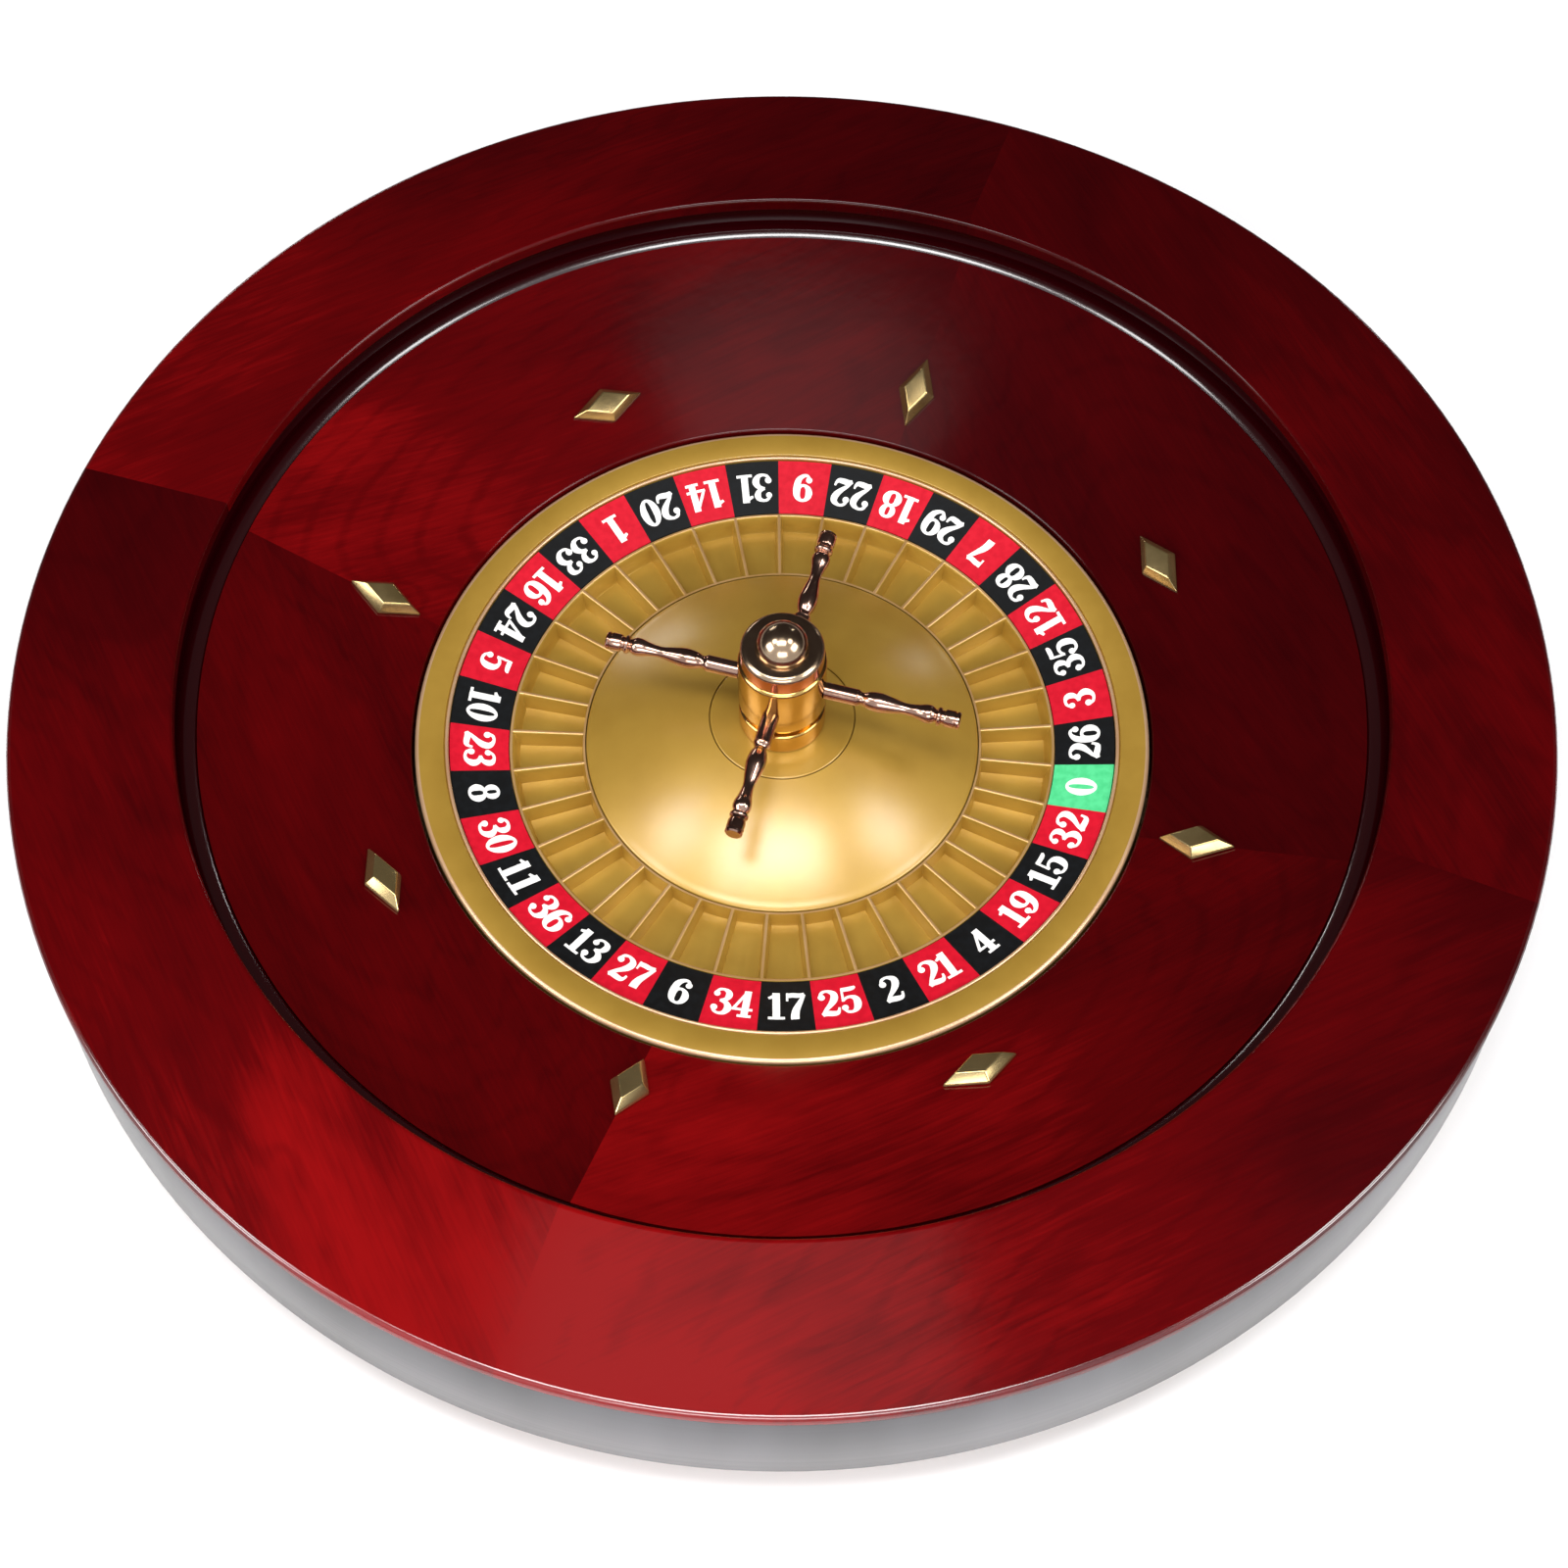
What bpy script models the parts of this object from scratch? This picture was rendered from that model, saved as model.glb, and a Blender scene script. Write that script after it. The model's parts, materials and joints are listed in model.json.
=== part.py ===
"""A 500 mm home-size roulette wheel: a wooden bowl, and a rotor that spins in it on two ball bearings.

Metres, +Z up. The origin is on the table, under the rotor's axis.
Everything is worked out from the sizes below, from the table upwards and from the axis outwards.
"""

from math import atan2, cos, hypot, pi, radians, sin, sqrt

import bmesh
import bpy
from mathutils import Matrix, Vector

MM = 0.001

# ---------------------------------------------------------------- clearances
GAP = 0.3 * MM  # between faces that touch on the real wheel
BEARING_FIT = 0.1 * MM  # radial, between a bearing ring and its seat
ROTOR_CLEARANCE = 1.0 * MM  # radial, between the rotor and the apron
PAN_CLEARANCE = 2.5 * MM  # between the base board and the turning pan

# ---------------------------------------------------------------- bowl
WHEEL_DIAMETER = 500 * MM
RIM_EDGE_HEIGHT = 70 * MM  # table to the top of the rim's outer edge
RIM_WIDTH = 53.8 * MM
RIM_RISE = 4.6 * MM  # how much higher the rim's inner edge is
RIM_THICKNESS = 5 * MM
RIM_ROUNDING = 1.6 * MM
RIM_OVERHANG = 0.4 * MM  # rim past the metal band
BAND_THICKNESS = 1.0 * MM
BAND_BOTTOM_HEIGHT = 22.5 * MM
COVE_RADIUS = 8 * MM  # hollow that the ball runs in
COVE_UNDERCUT = 4.3 * MM  # how far the cove goes in under the rim's lip
COVE_DROP = 8.0 * MM  # cove's centre below the rim's inner edge
COVE_TOP_ANGLE = 17
COVE_BOTTOM_ANGLE = -58
RIDGE_RADIUS = 3 * MM  # bead between the cove and the apron
RIDGE_INSET = 3.4 * MM  # bead's crown inside the rim's inner edge
RIDGE_DROP = 12.6 * MM  # bead's crown below the rim's inner edge
TRACK_RING_HEIGHT = 14.3 * MM  # depth of the track ring at its outside
APRON_THICKNESS = 9 * MM
APRON_BEVEL = 1.2 * MM
SHELF_DEPTH = 12 * MM
SHELF_OVERLAP = 11 * MM  # how far the shelf reaches in under the apron
WALL_THICKNESS = 23 * MM
WALL_FOOT_REBATE = 6.3 * MM
SUPPORT_RING_WIDTH = 10 * MM
SUPPORT_RING_INSET = 2.7 * MM

# ---------------------------------------------------------------- base and feet
BASE_SETBACK = 10 * MM
BASE_THICKNESS = 9 * MM
FOOT_COUNT = 4
FOOT_HEIGHT = 8 * MM
FOOT_RADIUS = 12 * MM
FOOT_INSET = 45 * MM  # foot's centre inside the base board's edge
FOOT_COUNTERBORE_RADIUS = 6 * MM
FOOT_COUNTERBORE_DEPTH = 4 * MM

# ---------------------------------------------------------------- screws: shank radius, head radius, head height
FOOT_SCREW = (1.8 * MM, 4.2 * MM, 2.0 * MM)
FOOT_SCREW_BITE = 5 * MM
HOUSING_SCREW = (1.6 * MM, 3.2 * MM, 1.6 * MM)
HOUSING_SCREW_BITE = 3.4 * MM
ROTOR_SCREW = (1.4 * MM, 2.4 * MM, 1.4 * MM)
ROTOR_SCREW_BITE = 2.4 * MM
SCREW_COUNT = 4

# ---------------------------------------------------------------- bearings and their housing
BEARING_BORE = 12 * MM
BEARING_DIAMETER = 28 * MM
BEARING_WIDTH = 8 * MM
BALL_RADIUS = 2.3 * MM
BALL_COUNT = 8
RING_WALL = 2.5 * MM
CAGE_THICKNESS = 1.4 * MM
CAGE_HEIGHT = 2.4 * MM
HOUSING_RECESS = 4 * MM
HOUSING_WALL = 5.9 * MM
HOUSING_FLANGE_WIDTH = 12 * MM
SHOULDER_LENGTH = 5.4 * MM
SHOULDER_STEP = 1.8 * MM

# ---------------------------------------------------------------- spindle
COLLAR_RADIUS = 8 * MM
COLLAR_HEIGHT = 0.8 * MM
FLANGE_RADIUS = 17 * MM
FLANGE_THICKNESS = 3 * MM
PILOT_RADIUS = 6 * MM
STUD_RADIUS = 4 * MM
CIRCLIP_THICKNESS = 1.0 * MM
CIRCLIP_RADIUS = 8.2 * MM
CIRCLIP_OPENING = 3.0 * MM
GROOVE_DEPTH = 0.8 * MM
SPINDLE_TAIL = 1.4 * MM
ROTOR_SCREW_CIRCLE = 11.6 * MM

# ---------------------------------------------------------------- rotor
ROTOR_DIAMETER = 244.6 * MM
ROTOR_RIM_WIDTH = 11.2 * MM
ROTOR_RIM_ROUNDING = 1.8 * MM
ROTOR_RIM_STEP = 1.2 * MM  # rotor rim above the numbers
NUMBER_RING_WIDTH = 19.4 * MM
NUMBER_RING_RISE = 4.1 * MM
NUMBER_RING_THICKNESS = 1.5 * MM
PAN_THICKNESS = 3 * MM
PAN_SETBACK = 4 * MM
PAN_HUB_RADIUS = 24 * MM
PAN_HUB_WALL = 3 * MM
PAN_TOP_THICKNESS = 2.5 * MM
POCKET_COUNT = 37
POCKET_DEPTH = 7.2 * MM
POCKET_FLOOR = 1.7 * MM
POCKET_WALL = 1.0 * MM
POCKET_WALL_LEAN = 2.4 * MM  # how far the outer wall leans in at the floor
FRET_THICKNESS = 1.3 * MM
FRET_DROP = 0.6 * MM  # frets lower at the cone than at the numbers
ZERO_POCKET_ANGLE = -11.3
CONE_RADIUS = 65.6 * MM
CONE_THICKNESS = 2.5 * MM
CONE_CROWN = 1.5 * MM  # how far the cone bulges above a straight slope
CONE_OPENING_RADIUS = 16.2 * MM
CONE_PLATE_RADIUS = 23.9 * MM
CONE_PLATE_THICKNESS = 1.3 * MM
CONE_PLATE_CROWN = 0.3 * MM
CONE_SEAT_WIDTH = 5 * MM

# ---------------------------------------------------------------- turret
TURRET_BASE_RADIUS = 14.3 * MM
TURRET_BASE_HEIGHT = 8.7 * MM
TURRET_NECK_RADIUS = 12.5 * MM
TURRET_NECK_HEIGHT = 2.7 * MM
HUB_RADIUS = 14.5 * MM
HUB_HEIGHT = 23 * MM
HUB_BEVEL = 1.4 * MM
CAP_RADIUS = 13.7 * MM
CAP_HEIGHT = 7.4 * MM
KNOB_RADIUS = 9 * MM
KNOB_CENTRE = -1.5 * MM  # the centre of the ball is this far below its seat, when negative
STUD_IN_KNOB = 2.7 * MM
ARM_COUNT = 4
ARM_HEIGHT_ON_HUB = 10 * MM
ARM_ANGLE = -15
ARM_TENON_RADIUS = 1.6 * MM
ARM_TENON_LENGTH = 5.5 * MM
# Distance from the hub's face and radius at each turning of the arm.
ARM_TURNINGS = [
    (10.8 * MM, 2.8 * MM),
    (12.4 * MM, 2.1 * MM),
    (14.6 * MM, 2.9 * MM),
    (18.2 * MM, 3.3 * MM),
    (22.6 * MM, 2.6 * MM),
    (26.6 * MM, 1.9 * MM),
    (30.4 * MM, 2.3 * MM),
    (33.2 * MM, 3.0 * MM),
    (35.2 * MM, 3.0 * MM),
    (36.8 * MM, 2.1 * MM),
    (38.0 * MM, 2.9 * MM),
    (44.4 * MM, 2.9 * MM),
]
ARM_TIP_BEVEL = 0.6 * MM

# ---------------------------------------------------------------- ball deflectors
DEFLECTOR_COUNT = 8
DEFLECTOR_LENGTH = 26 * MM
DEFLECTOR_WIDTH = 13 * MM
DEFLECTOR_HEIGHT = 3.8 * MM
DEFLECTOR_TOP_SHARE = 0.6  # the flat top against the foot
DEFLECTOR_INSET = 19.2 * MM  # centre from the apron's inner edge
DEFLECTOR_ANGLE = 25.75
DEFLECTOR_PIN_RADIUS = 1.5 * MM
DEFLECTOR_PIN_LENGTH = 4.5 * MM

# ---------------------------------------------------------------- fineness of the round pieces
BOWL_STEPS = 48
ROTOR_STEPS = POCKET_COUNT
HUB_STEPS = 20
ARM_STEPS = 10
SCREW_STEPS = 8
FOOT_STEPS = 12
BALL_STEPS = 6
ARC_STEPS = 4
SHARP_ANGLE = radians(35)

# ================================================================ sizes that follow
wheel_radius = WHEEL_DIAMETER / 2
rotor_radius = ROTOR_DIAMETER / 2

base_bottom = FOOT_HEIGHT
base_top = base_bottom + BASE_THICKNESS
base_radius = wheel_radius - BASE_SETBACK
foot_circle = base_radius - FOOT_INSET

housing_bottom = base_top - HOUSING_RECESS + GAP
lower_bearing = housing_bottom
shoulder_bottom = lower_bearing + BEARING_WIDTH + GAP
shoulder_top = shoulder_bottom + SHOULDER_LENGTH
upper_bearing = shoulder_top + GAP
housing_top = upper_bearing + BEARING_WIDTH
seat_radius = BEARING_DIAMETER / 2 + BEARING_FIT
housing_radius = seat_radius + HOUSING_WALL
housing_flange_radius = housing_radius + HOUSING_FLANGE_WIDTH
housing_screw_circle = housing_radius + HOUSING_FLANGE_WIDTH / 2
retainer_radius = BEARING_DIAMETER / 2 - SHOULDER_STEP

journal_radius = BEARING_BORE / 2 - BEARING_FIT
flange_bottom = housing_top + GAP + COLLAR_HEIGHT
flange_top = flange_bottom + FLANGE_THICKNESS
pan_top_bottom = flange_top + GAP
pan_top = pan_top_bottom + PAN_TOP_THICKNESS
screw_seat = pan_top + GAP
plate_bottom = screw_seat + ROTOR_SCREW[2] + GAP
plate_edge = plate_bottom + CONE_PLATE_THICKNESS
plate_top = plate_edge + CONE_PLATE_CROWN

pan_bottom = base_top + PAN_CLEARANCE
pan_floor = pan_bottom + PAN_THICKNESS
rotor_seat = pan_floor + GAP
pocket_floor = rotor_seat + POCKET_FLOOR
pocket_rim_top = pocket_floor + POCKET_DEPTH
fret_inner_top = pocket_rim_top - FRET_DROP
rotor_rim_inner = rotor_radius - ROTOR_RIM_WIDTH
numbers_outer = rotor_rim_inner - GAP
numbers_inner = numbers_outer - NUMBER_RING_WIDTH
numbers_top_outer = pocket_rim_top + NUMBER_RING_RISE
rotor_top = numbers_top_outer + ROTOR_RIM_STEP
pocket_outer = numbers_inner - GAP
pocket_inner = CONE_RADIUS + GAP
cone_edge_top = fret_inner_top
cone_seat = cone_edge_top - CONE_THICKNESS

apron_inner = rotor_radius + ROTOR_CLEARANCE
lip_radius = wheel_radius - RIM_WIDTH
lip_top = RIM_EDGE_HEIGHT + RIM_RISE
ridge_crown_radius = lip_radius - RIDGE_INSET
ridge_crown_height = lip_top - RIDGE_DROP
ridge_foot_radius = ridge_crown_radius - RIDGE_RADIUS * sin(radians(45))
ridge_foot_height = ridge_crown_height - RIDGE_RADIUS * (1 - cos(radians(45)))
cove_centre_radius = lip_radius + COVE_UNDERCUT - COVE_RADIUS
cove_centre_height = lip_top - COVE_DROP
apron_outer = ridge_foot_radius - GAP
apron_outer_top = ridge_foot_height
apron_inner_top = rotor_top
apron_slope = atan2(apron_outer_top - apron_inner_top, apron_outer - apron_inner)
apron_drop = APRON_THICKNESS / cos(apron_slope)

band_outer = wheel_radius - RIM_OVERHANG
wall_radius = band_outer - BAND_THICKNESS - GAP
wall_bottom = base_top + GAP
track_ring_bottom = RIM_EDGE_HEIGHT - RIM_THICKNESS - TRACK_RING_HEIGHT
wall_top = track_ring_bottom - GAP
deflector_circle = apron_inner + DEFLECTOR_INSET

turret_base_bottom = plate_top + GAP
turret_neck_bottom = turret_base_bottom + TURRET_BASE_HEIGHT
hub_bottom = turret_neck_bottom + TURRET_NECK_HEIGHT + GAP
hub_top = hub_bottom + HUB_HEIGHT
cap_bottom = hub_top + GAP
cap_top = cap_bottom + CAP_HEIGHT
knob_bottom = cap_top + GAP
stud_top = knob_bottom + STUD_IN_KNOB
arm_height = hub_bottom + ARM_HEIGHT_ON_HUB


def rim_under(radius):
    """Height of the rim's sloping underside."""
    share = (wheel_radius - radius) / RIM_WIDTH
    return RIM_EDGE_HEIGHT + RIM_RISE * share - RIM_THICKNESS


def apron_top(radius):
    return apron_inner_top + (radius - apron_inner) * sin(apron_slope) / cos(apron_slope)


def apron_under(radius):
    return apron_top(radius) - apron_drop


def cone_top(radius):
    """Height of the domed cone, from its edge to its plate."""
    share = (CONE_RADIUS - radius) / (CONE_RADIUS - CONE_PLATE_RADIUS)
    straight = cone_edge_top + (plate_edge - cone_edge_top) * share
    return straight + 4 * CONE_CROWN * share * (1 - share)


# ================================================================ scene
for leftover in list(bpy.data.objects):
    bpy.data.objects.remove(leftover, do_unlink=True)

PARTS = bpy.data.collections.new("roulette_wheel")
CUTTERS = bpy.data.collections.new("cutters")
for collection in (PARTS, CUTTERS):
    bpy.context.scene.collection.children.link(collection)
CUTTERS.hide_render = True


def material(name, colour, roughness, metallic=0.0):
    made = bpy.data.materials.new(name)
    made.use_nodes = True
    shader = made.node_tree.nodes["Principled BSDF"]
    shader.inputs["Base Color"].default_value = (*colour, 1)
    shader.inputs["Roughness"].default_value = roughness
    shader.inputs["Metallic"].default_value = metallic
    return made


LACQUERED_WOOD = material("lacquered wood", (0.17, 0.012, 0.012), 0.12)
PLAIN_BOARD = material("plain board", (0.32, 0.2, 0.1), 0.6)
BRUSHED_STEEL = material("brushed steel", (0.3, 0.29, 0.29), 0.35, 1)
BEARING_STEEL = material("bearing steel", (0.5, 0.5, 0.52), 0.2, 1)
BRASS = material("polished brass", (0.8, 0.58, 0.25), 0.12, 1)
SATIN_BRASS = material("satin brass", (0.45, 0.31, 0.07), 0.3, 1)
ENAMEL = material("printed enamel", (0.8, 0.02, 0.03), 0.35)
ALUMINIUM = material("turned aluminium", (0.6, 0.6, 0.62), 0.3, 1)
RUBBER = material("black rubber", (0.02, 0.02, 0.02), 0.8)
ZINC = material("zinc plated steel", (0.55, 0.56, 0.58), 0.3, 1)


def empty(name, height):
    """A parent on the wheel's axis."""
    made = bpy.data.objects.new(name, None)
    made.location = (0, 0, height)
    PARTS.objects.link(made)
    return made


BOWL = empty("bowl_frame", 0)
ROTOR = empty("rotor_frame", 0)
UPPER_CAGE = empty("upper_cage_frame", 0)
LOWER_CAGE = empty("lower_cage_frame", 0)


def place(obj, parent, location=(0, 0, 0), turn=0.0):
    obj.parent = parent
    obj.location = location
    obj.rotation_euler = (0, 0, turn)
    return obj


def new_object(name, mesh, finish):
    """A cutter has no finish: it goes with the other cutters, and isn't drawn."""
    obj = bpy.data.objects.new(name, mesh)
    if finish:
        PARTS.objects.link(obj)
        mesh.materials.clear()
        mesh.materials.append(finish)
    else:
        CUTTERS.objects.link(obj)
        obj.hide_render = True
        obj.display_type = "WIRE"
    return obj


def frozen(obj):
    """Puts the modifiers' result in the mesh, rounded faces shaded smooth."""
    bpy.context.view_layer.update()
    graph = bpy.context.evaluated_depsgraph_get()
    mesh = bpy.data.meshes.new_from_object(obj.evaluated_get(graph))
    obj.modifiers.clear()
    obj.data = mesh
    mesh.shade_smooth()
    mesh.set_sharp_from_angle(angle=SHARP_ANGLE)
    return obj


def turned(name, profile, finish, steps, closed=True):
    """Turns (radius, height) points about Z. They run down the outer side and back up the inner one."""
    mesh = bpy.data.meshes.new(name)
    last = len(profile) if closed else len(profile) - 1
    edges = [(i, (i + 1) % len(profile)) for i in range(last)]
    mesh.from_pydata([(radius, 0, height) for radius, height in profile], edges, [])
    obj = new_object(name, mesh, finish)
    screw = obj.modifiers.new("turn", "SCREW")
    screw.axis = "Z"
    screw.angle = 2 * pi
    screw.steps = steps
    screw.render_steps = steps
    screw.use_merge_vertices = True
    screw.merge_threshold = 0.00001
    return frozen(obj)


def tube_profile(outer, inner, bottom, top):
    return [(outer, top), (outer, bottom), (inner, bottom), (inner, top)]


def arc(centre, radius, start, end, steps=ARC_STEPS):
    """(radius, height) points on an arc, its angles in degrees from straight outwards."""
    turns = [radians(start + (end - start) * i / steps) for i in range(steps + 1)]
    return [(centre[0] + radius * cos(a), centre[1] + radius * sin(a)) for a in turns]


def around(count, radius, first=0.0):
    """(x, y, angle) of places spread round the axis, the first angle in degrees."""
    turns = [radians(first) + 2 * pi * i / count for i in range(count)]
    return [(radius * cos(a), radius * sin(a), a) for a in turns]


def rod_cutter(name, radius, bottom, top, places, steps=SCREW_STEPS):
    """Upright rods at the (x, y) places, as one cutter."""
    shape = bmesh.new()
    for x, y, _ in places:
        middle = Matrix.Translation((x, y, (bottom + top) / 2))
        bmesh.ops.create_cone(
            shape,
            cap_ends=True,
            segments=steps,
            radius1=radius,
            radius2=radius,
            depth=top - bottom,
            matrix=middle,
        )
    mesh = bpy.data.meshes.new(name)
    shape.to_mesh(mesh)
    shape.free()
    return new_object(name, mesh, None)


def boolean(obj, other, operation="DIFFERENCE"):
    step = obj.modifiers.new(other.name, "BOOLEAN")
    step.operation = operation
    step.object = other
    step.solver = "EXACT"


# ================================================================ bowl
def make_rim_ring():
    """The wide flat rim. It rises to a lip that hangs over the ball track."""
    half = RIM_ROUNDING
    outer_top = arc((wheel_radius - half, RIM_EDGE_HEIGHT - half), half, 90, 0, 2)
    outer_foot = [
        (wheel_radius, rim_under(wheel_radius) + half / 2),
        (wheel_radius - half / 2, rim_under(wheel_radius)),
    ]
    inner = [
        (lip_radius, rim_under(lip_radius)),
        (lip_radius, lip_top - half / 2),
        (lip_radius + half / 2, lip_top),
    ]
    profile = outer_top + outer_foot + inner
    place(turned("rim_ring", profile, LACQUERED_WOOD, BOWL_STEPS), BOWL)


def make_ball_track_ring():
    """The ring under the rim: a cove for the ball, and a bead where the apron starts."""
    cove = arc(
        (cove_centre_radius, cove_centre_height),
        COVE_RADIUS,
        COVE_BOTTOM_ANGLE,
        COVE_TOP_ANGLE,
    )
    ridge_centre = (ridge_crown_radius, ridge_crown_height - RIDGE_RADIUS)
    ridge = arc(ridge_centre, RIDGE_RADIUS, 135, 45, 2)
    profile = [
        (wall_radius, rim_under(wall_radius) - GAP),
        (wall_radius, track_ring_bottom),
        (ridge_foot_radius, track_ring_bottom),
        *ridge,
        *cove,
    ]
    place(turned("ball_track_ring", profile, LACQUERED_WOOD, BOWL_STEPS), BOWL)


def slope_frame(angle, circle):
    """A frame on the apron, its X outwards along the slope and its Z square to it."""
    spot = (circle * cos(angle), circle * sin(angle), apron_top(circle))
    tilt = Matrix.Rotation(-apron_slope, 4, "Y")
    return Matrix.Translation(spot) @ Matrix.Rotation(angle, 4, "Z") @ tilt


def make_apron():
    """The slope that the ball falls down, with a blind hole for each deflector's pin."""
    profile = [
        (apron_outer, apron_outer_top),
        (apron_outer, apron_under(apron_outer)),
        (apron_inner, apron_under(apron_inner)),
        (apron_inner, apron_inner_top - APRON_BEVEL),
        (apron_inner + APRON_BEVEL, apron_top(apron_inner + APRON_BEVEL)),
    ]
    apron = place(turned("apron", profile, LACQUERED_WOOD, BOWL_STEPS), BOWL)
    shape = bmesh.new()
    depth = DEFLECTOR_PIN_LENGTH + GAP
    for _, _, angle in around(DEFLECTOR_COUNT, deflector_circle, DEFLECTOR_ANGLE):
        bmesh.ops.create_cone(
            shape,
            cap_ends=True,
            segments=SCREW_STEPS,
            radius1=DEFLECTOR_PIN_RADIUS + GAP,
            radius2=DEFLECTOR_PIN_RADIUS + GAP,
            depth=2 * depth,
            matrix=slope_frame(angle, deflector_circle),
        )
    mesh = bpy.data.meshes.new("pin_holes")
    shape.to_mesh(mesh)
    shape.free()
    boolean(apron, new_object("pin_holes", mesh, None))


def make_bowl_wall():
    """The wooden wall, with the shelf that the apron's outer edge lies on."""
    shelf_inner = apron_outer - SHELF_OVERLAP
    wall_inner = wall_radius - WALL_THICKNESS
    shelf_bottom = apron_under(shelf_inner) - SHELF_DEPTH
    profile = [
        (wall_radius, wall_top),
        (wall_radius, BAND_BOTTOM_HEIGHT),
        (wall_radius - WALL_FOOT_REBATE, BAND_BOTTOM_HEIGHT),
        (wall_radius - WALL_FOOT_REBATE, wall_bottom),
        (wall_inner, wall_bottom),
        (wall_inner, shelf_bottom),
        (shelf_inner, shelf_bottom),
        (shelf_inner, apron_under(shelf_inner) - GAP),
        (ridge_foot_radius, wall_top),
    ]
    place(turned("bowl_wall", profile, LACQUERED_WOOD, BOWL_STEPS), BOWL)


def make_side_band():
    """The thin metal strip that wraps the wall, tucked under the rim's overhang."""
    top = rim_under(band_outer) - GAP
    inner = band_outer - BAND_THICKNESS
    profile = tube_profile(band_outer, inner, BAND_BOTTOM_HEIGHT, top)
    place(turned("side_band", profile, BRUSHED_STEEL, BOWL_STEPS), BOWL)


def make_apron_support_ring():
    """Holds up the apron's inner edge."""
    inner = apron_inner + SUPPORT_RING_INSET
    outer = inner + SUPPORT_RING_WIDTH
    profile = [
        (outer, apron_under(outer) - GAP),
        (outer, wall_bottom),
        (inner, wall_bottom),
        (inner, apron_under(inner) - GAP),
    ]
    place(turned("apron_support_ring", profile, PLAIN_BOARD, BOWL_STEPS), BOWL)


def make_base_board():
    """The round board under everything, recessed for the bearing housing."""
    recess_radius = housing_flange_radius + GAP
    recess_floor = base_top - HOUSING_RECESS
    profile = [
        (base_radius, base_top),
        (base_radius, base_bottom),
        (retainer_radius, base_bottom),
        (retainer_radius, recess_floor),
        (recess_radius, recess_floor),
        (recess_radius, base_top),
    ]
    board = place(turned("base_board", profile, PLAIN_BOARD, BOWL_STEPS), BOWL)
    feet = rod_cutter(
        "foot_screw_holes",
        FOOT_SCREW[0] + GAP,
        base_bottom - GAP,
        base_bottom + FOOT_SCREW_BITE + GAP,
        around(FOOT_COUNT, foot_circle, 180 / FOOT_COUNT),
    )
    housing = rod_cutter(
        "housing_screw_holes",
        HOUSING_SCREW[0] + GAP,
        recess_floor - HOUSING_SCREW_BITE - GAP,
        recess_floor + GAP,
        around(SCREW_COUNT, housing_screw_circle),
    )
    boolean(board, feet)
    boolean(board, housing)


def make_screw(name, screw, shank_length):
    """A round-headed screw, its seat at height 0, its shank down."""
    shank, head, height = screw
    profile = [
        (0, height),
        (head * 0.7, height),
        (head, height * 0.4),
        (head, 0),
        (shank, 0),
        (shank, -shank_length),
        (0, -shank_length),
    ]
    return turned(name, profile, ZINC, SCREW_STEPS, closed=False)


def make_feet():
    """Rubber feet, each held up into the base board by a screw in its counterbore."""
    top = FOOT_HEIGHT - GAP
    bore = FOOT_SCREW[0] + GAP
    bevel = FOOT_RADIUS / 8
    profile = [
        (FOOT_RADIUS, top),
        (FOOT_RADIUS, bevel),
        (FOOT_RADIUS - bevel, 0),
        (FOOT_COUNTERBORE_RADIUS, 0),
        (FOOT_COUNTERBORE_RADIUS, FOOT_COUNTERBORE_DEPTH),
        (bore, FOOT_COUNTERBORE_DEPTH),
        (bore, top),
    ]
    seat = FOOT_COUNTERBORE_DEPTH - GAP
    shank = base_bottom + FOOT_SCREW_BITE - seat
    for i, (x, y, _) in enumerate(around(FOOT_COUNT, foot_circle, 180 / FOOT_COUNT)):
        foot = turned(f"foot_{i + 1}", profile, RUBBER, FOOT_STEPS)
        place(foot, BOWL, (x, y, 0))
        screw = make_screw(f"foot_screw_{i + 1}", FOOT_SCREW, shank)
        place(screw, BOWL, (x, y, seat))
        screw.rotation_euler = (pi, 0, 0)


def lozenge(name, length, width, height, top_share, foot):
    """A diamond with a flat top and bevelled sides, its foot at the given height."""
    shape = bmesh.new()
    bmesh.ops.create_cone(
        shape,
        cap_ends=True,
        segments=4,
        radius1=1,
        radius2=top_share,
        depth=height,
        matrix=Matrix.Translation((0, 0, foot + height / 2)),
    )
    corner = max(vertex.co.x for vertex in shape.verts)
    if corner < 1 - 1e-6:
        bmesh.ops.rotate(shape, verts=shape.verts, matrix=Matrix.Rotation(pi / 4, 3, "Z"))
    bmesh.ops.scale(shape, vec=(length / 2, width / 2, 1), verts=shape.verts)
    mesh = bpy.data.meshes.new(name)
    shape.to_mesh(mesh)
    shape.free()
    return mesh


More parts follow.
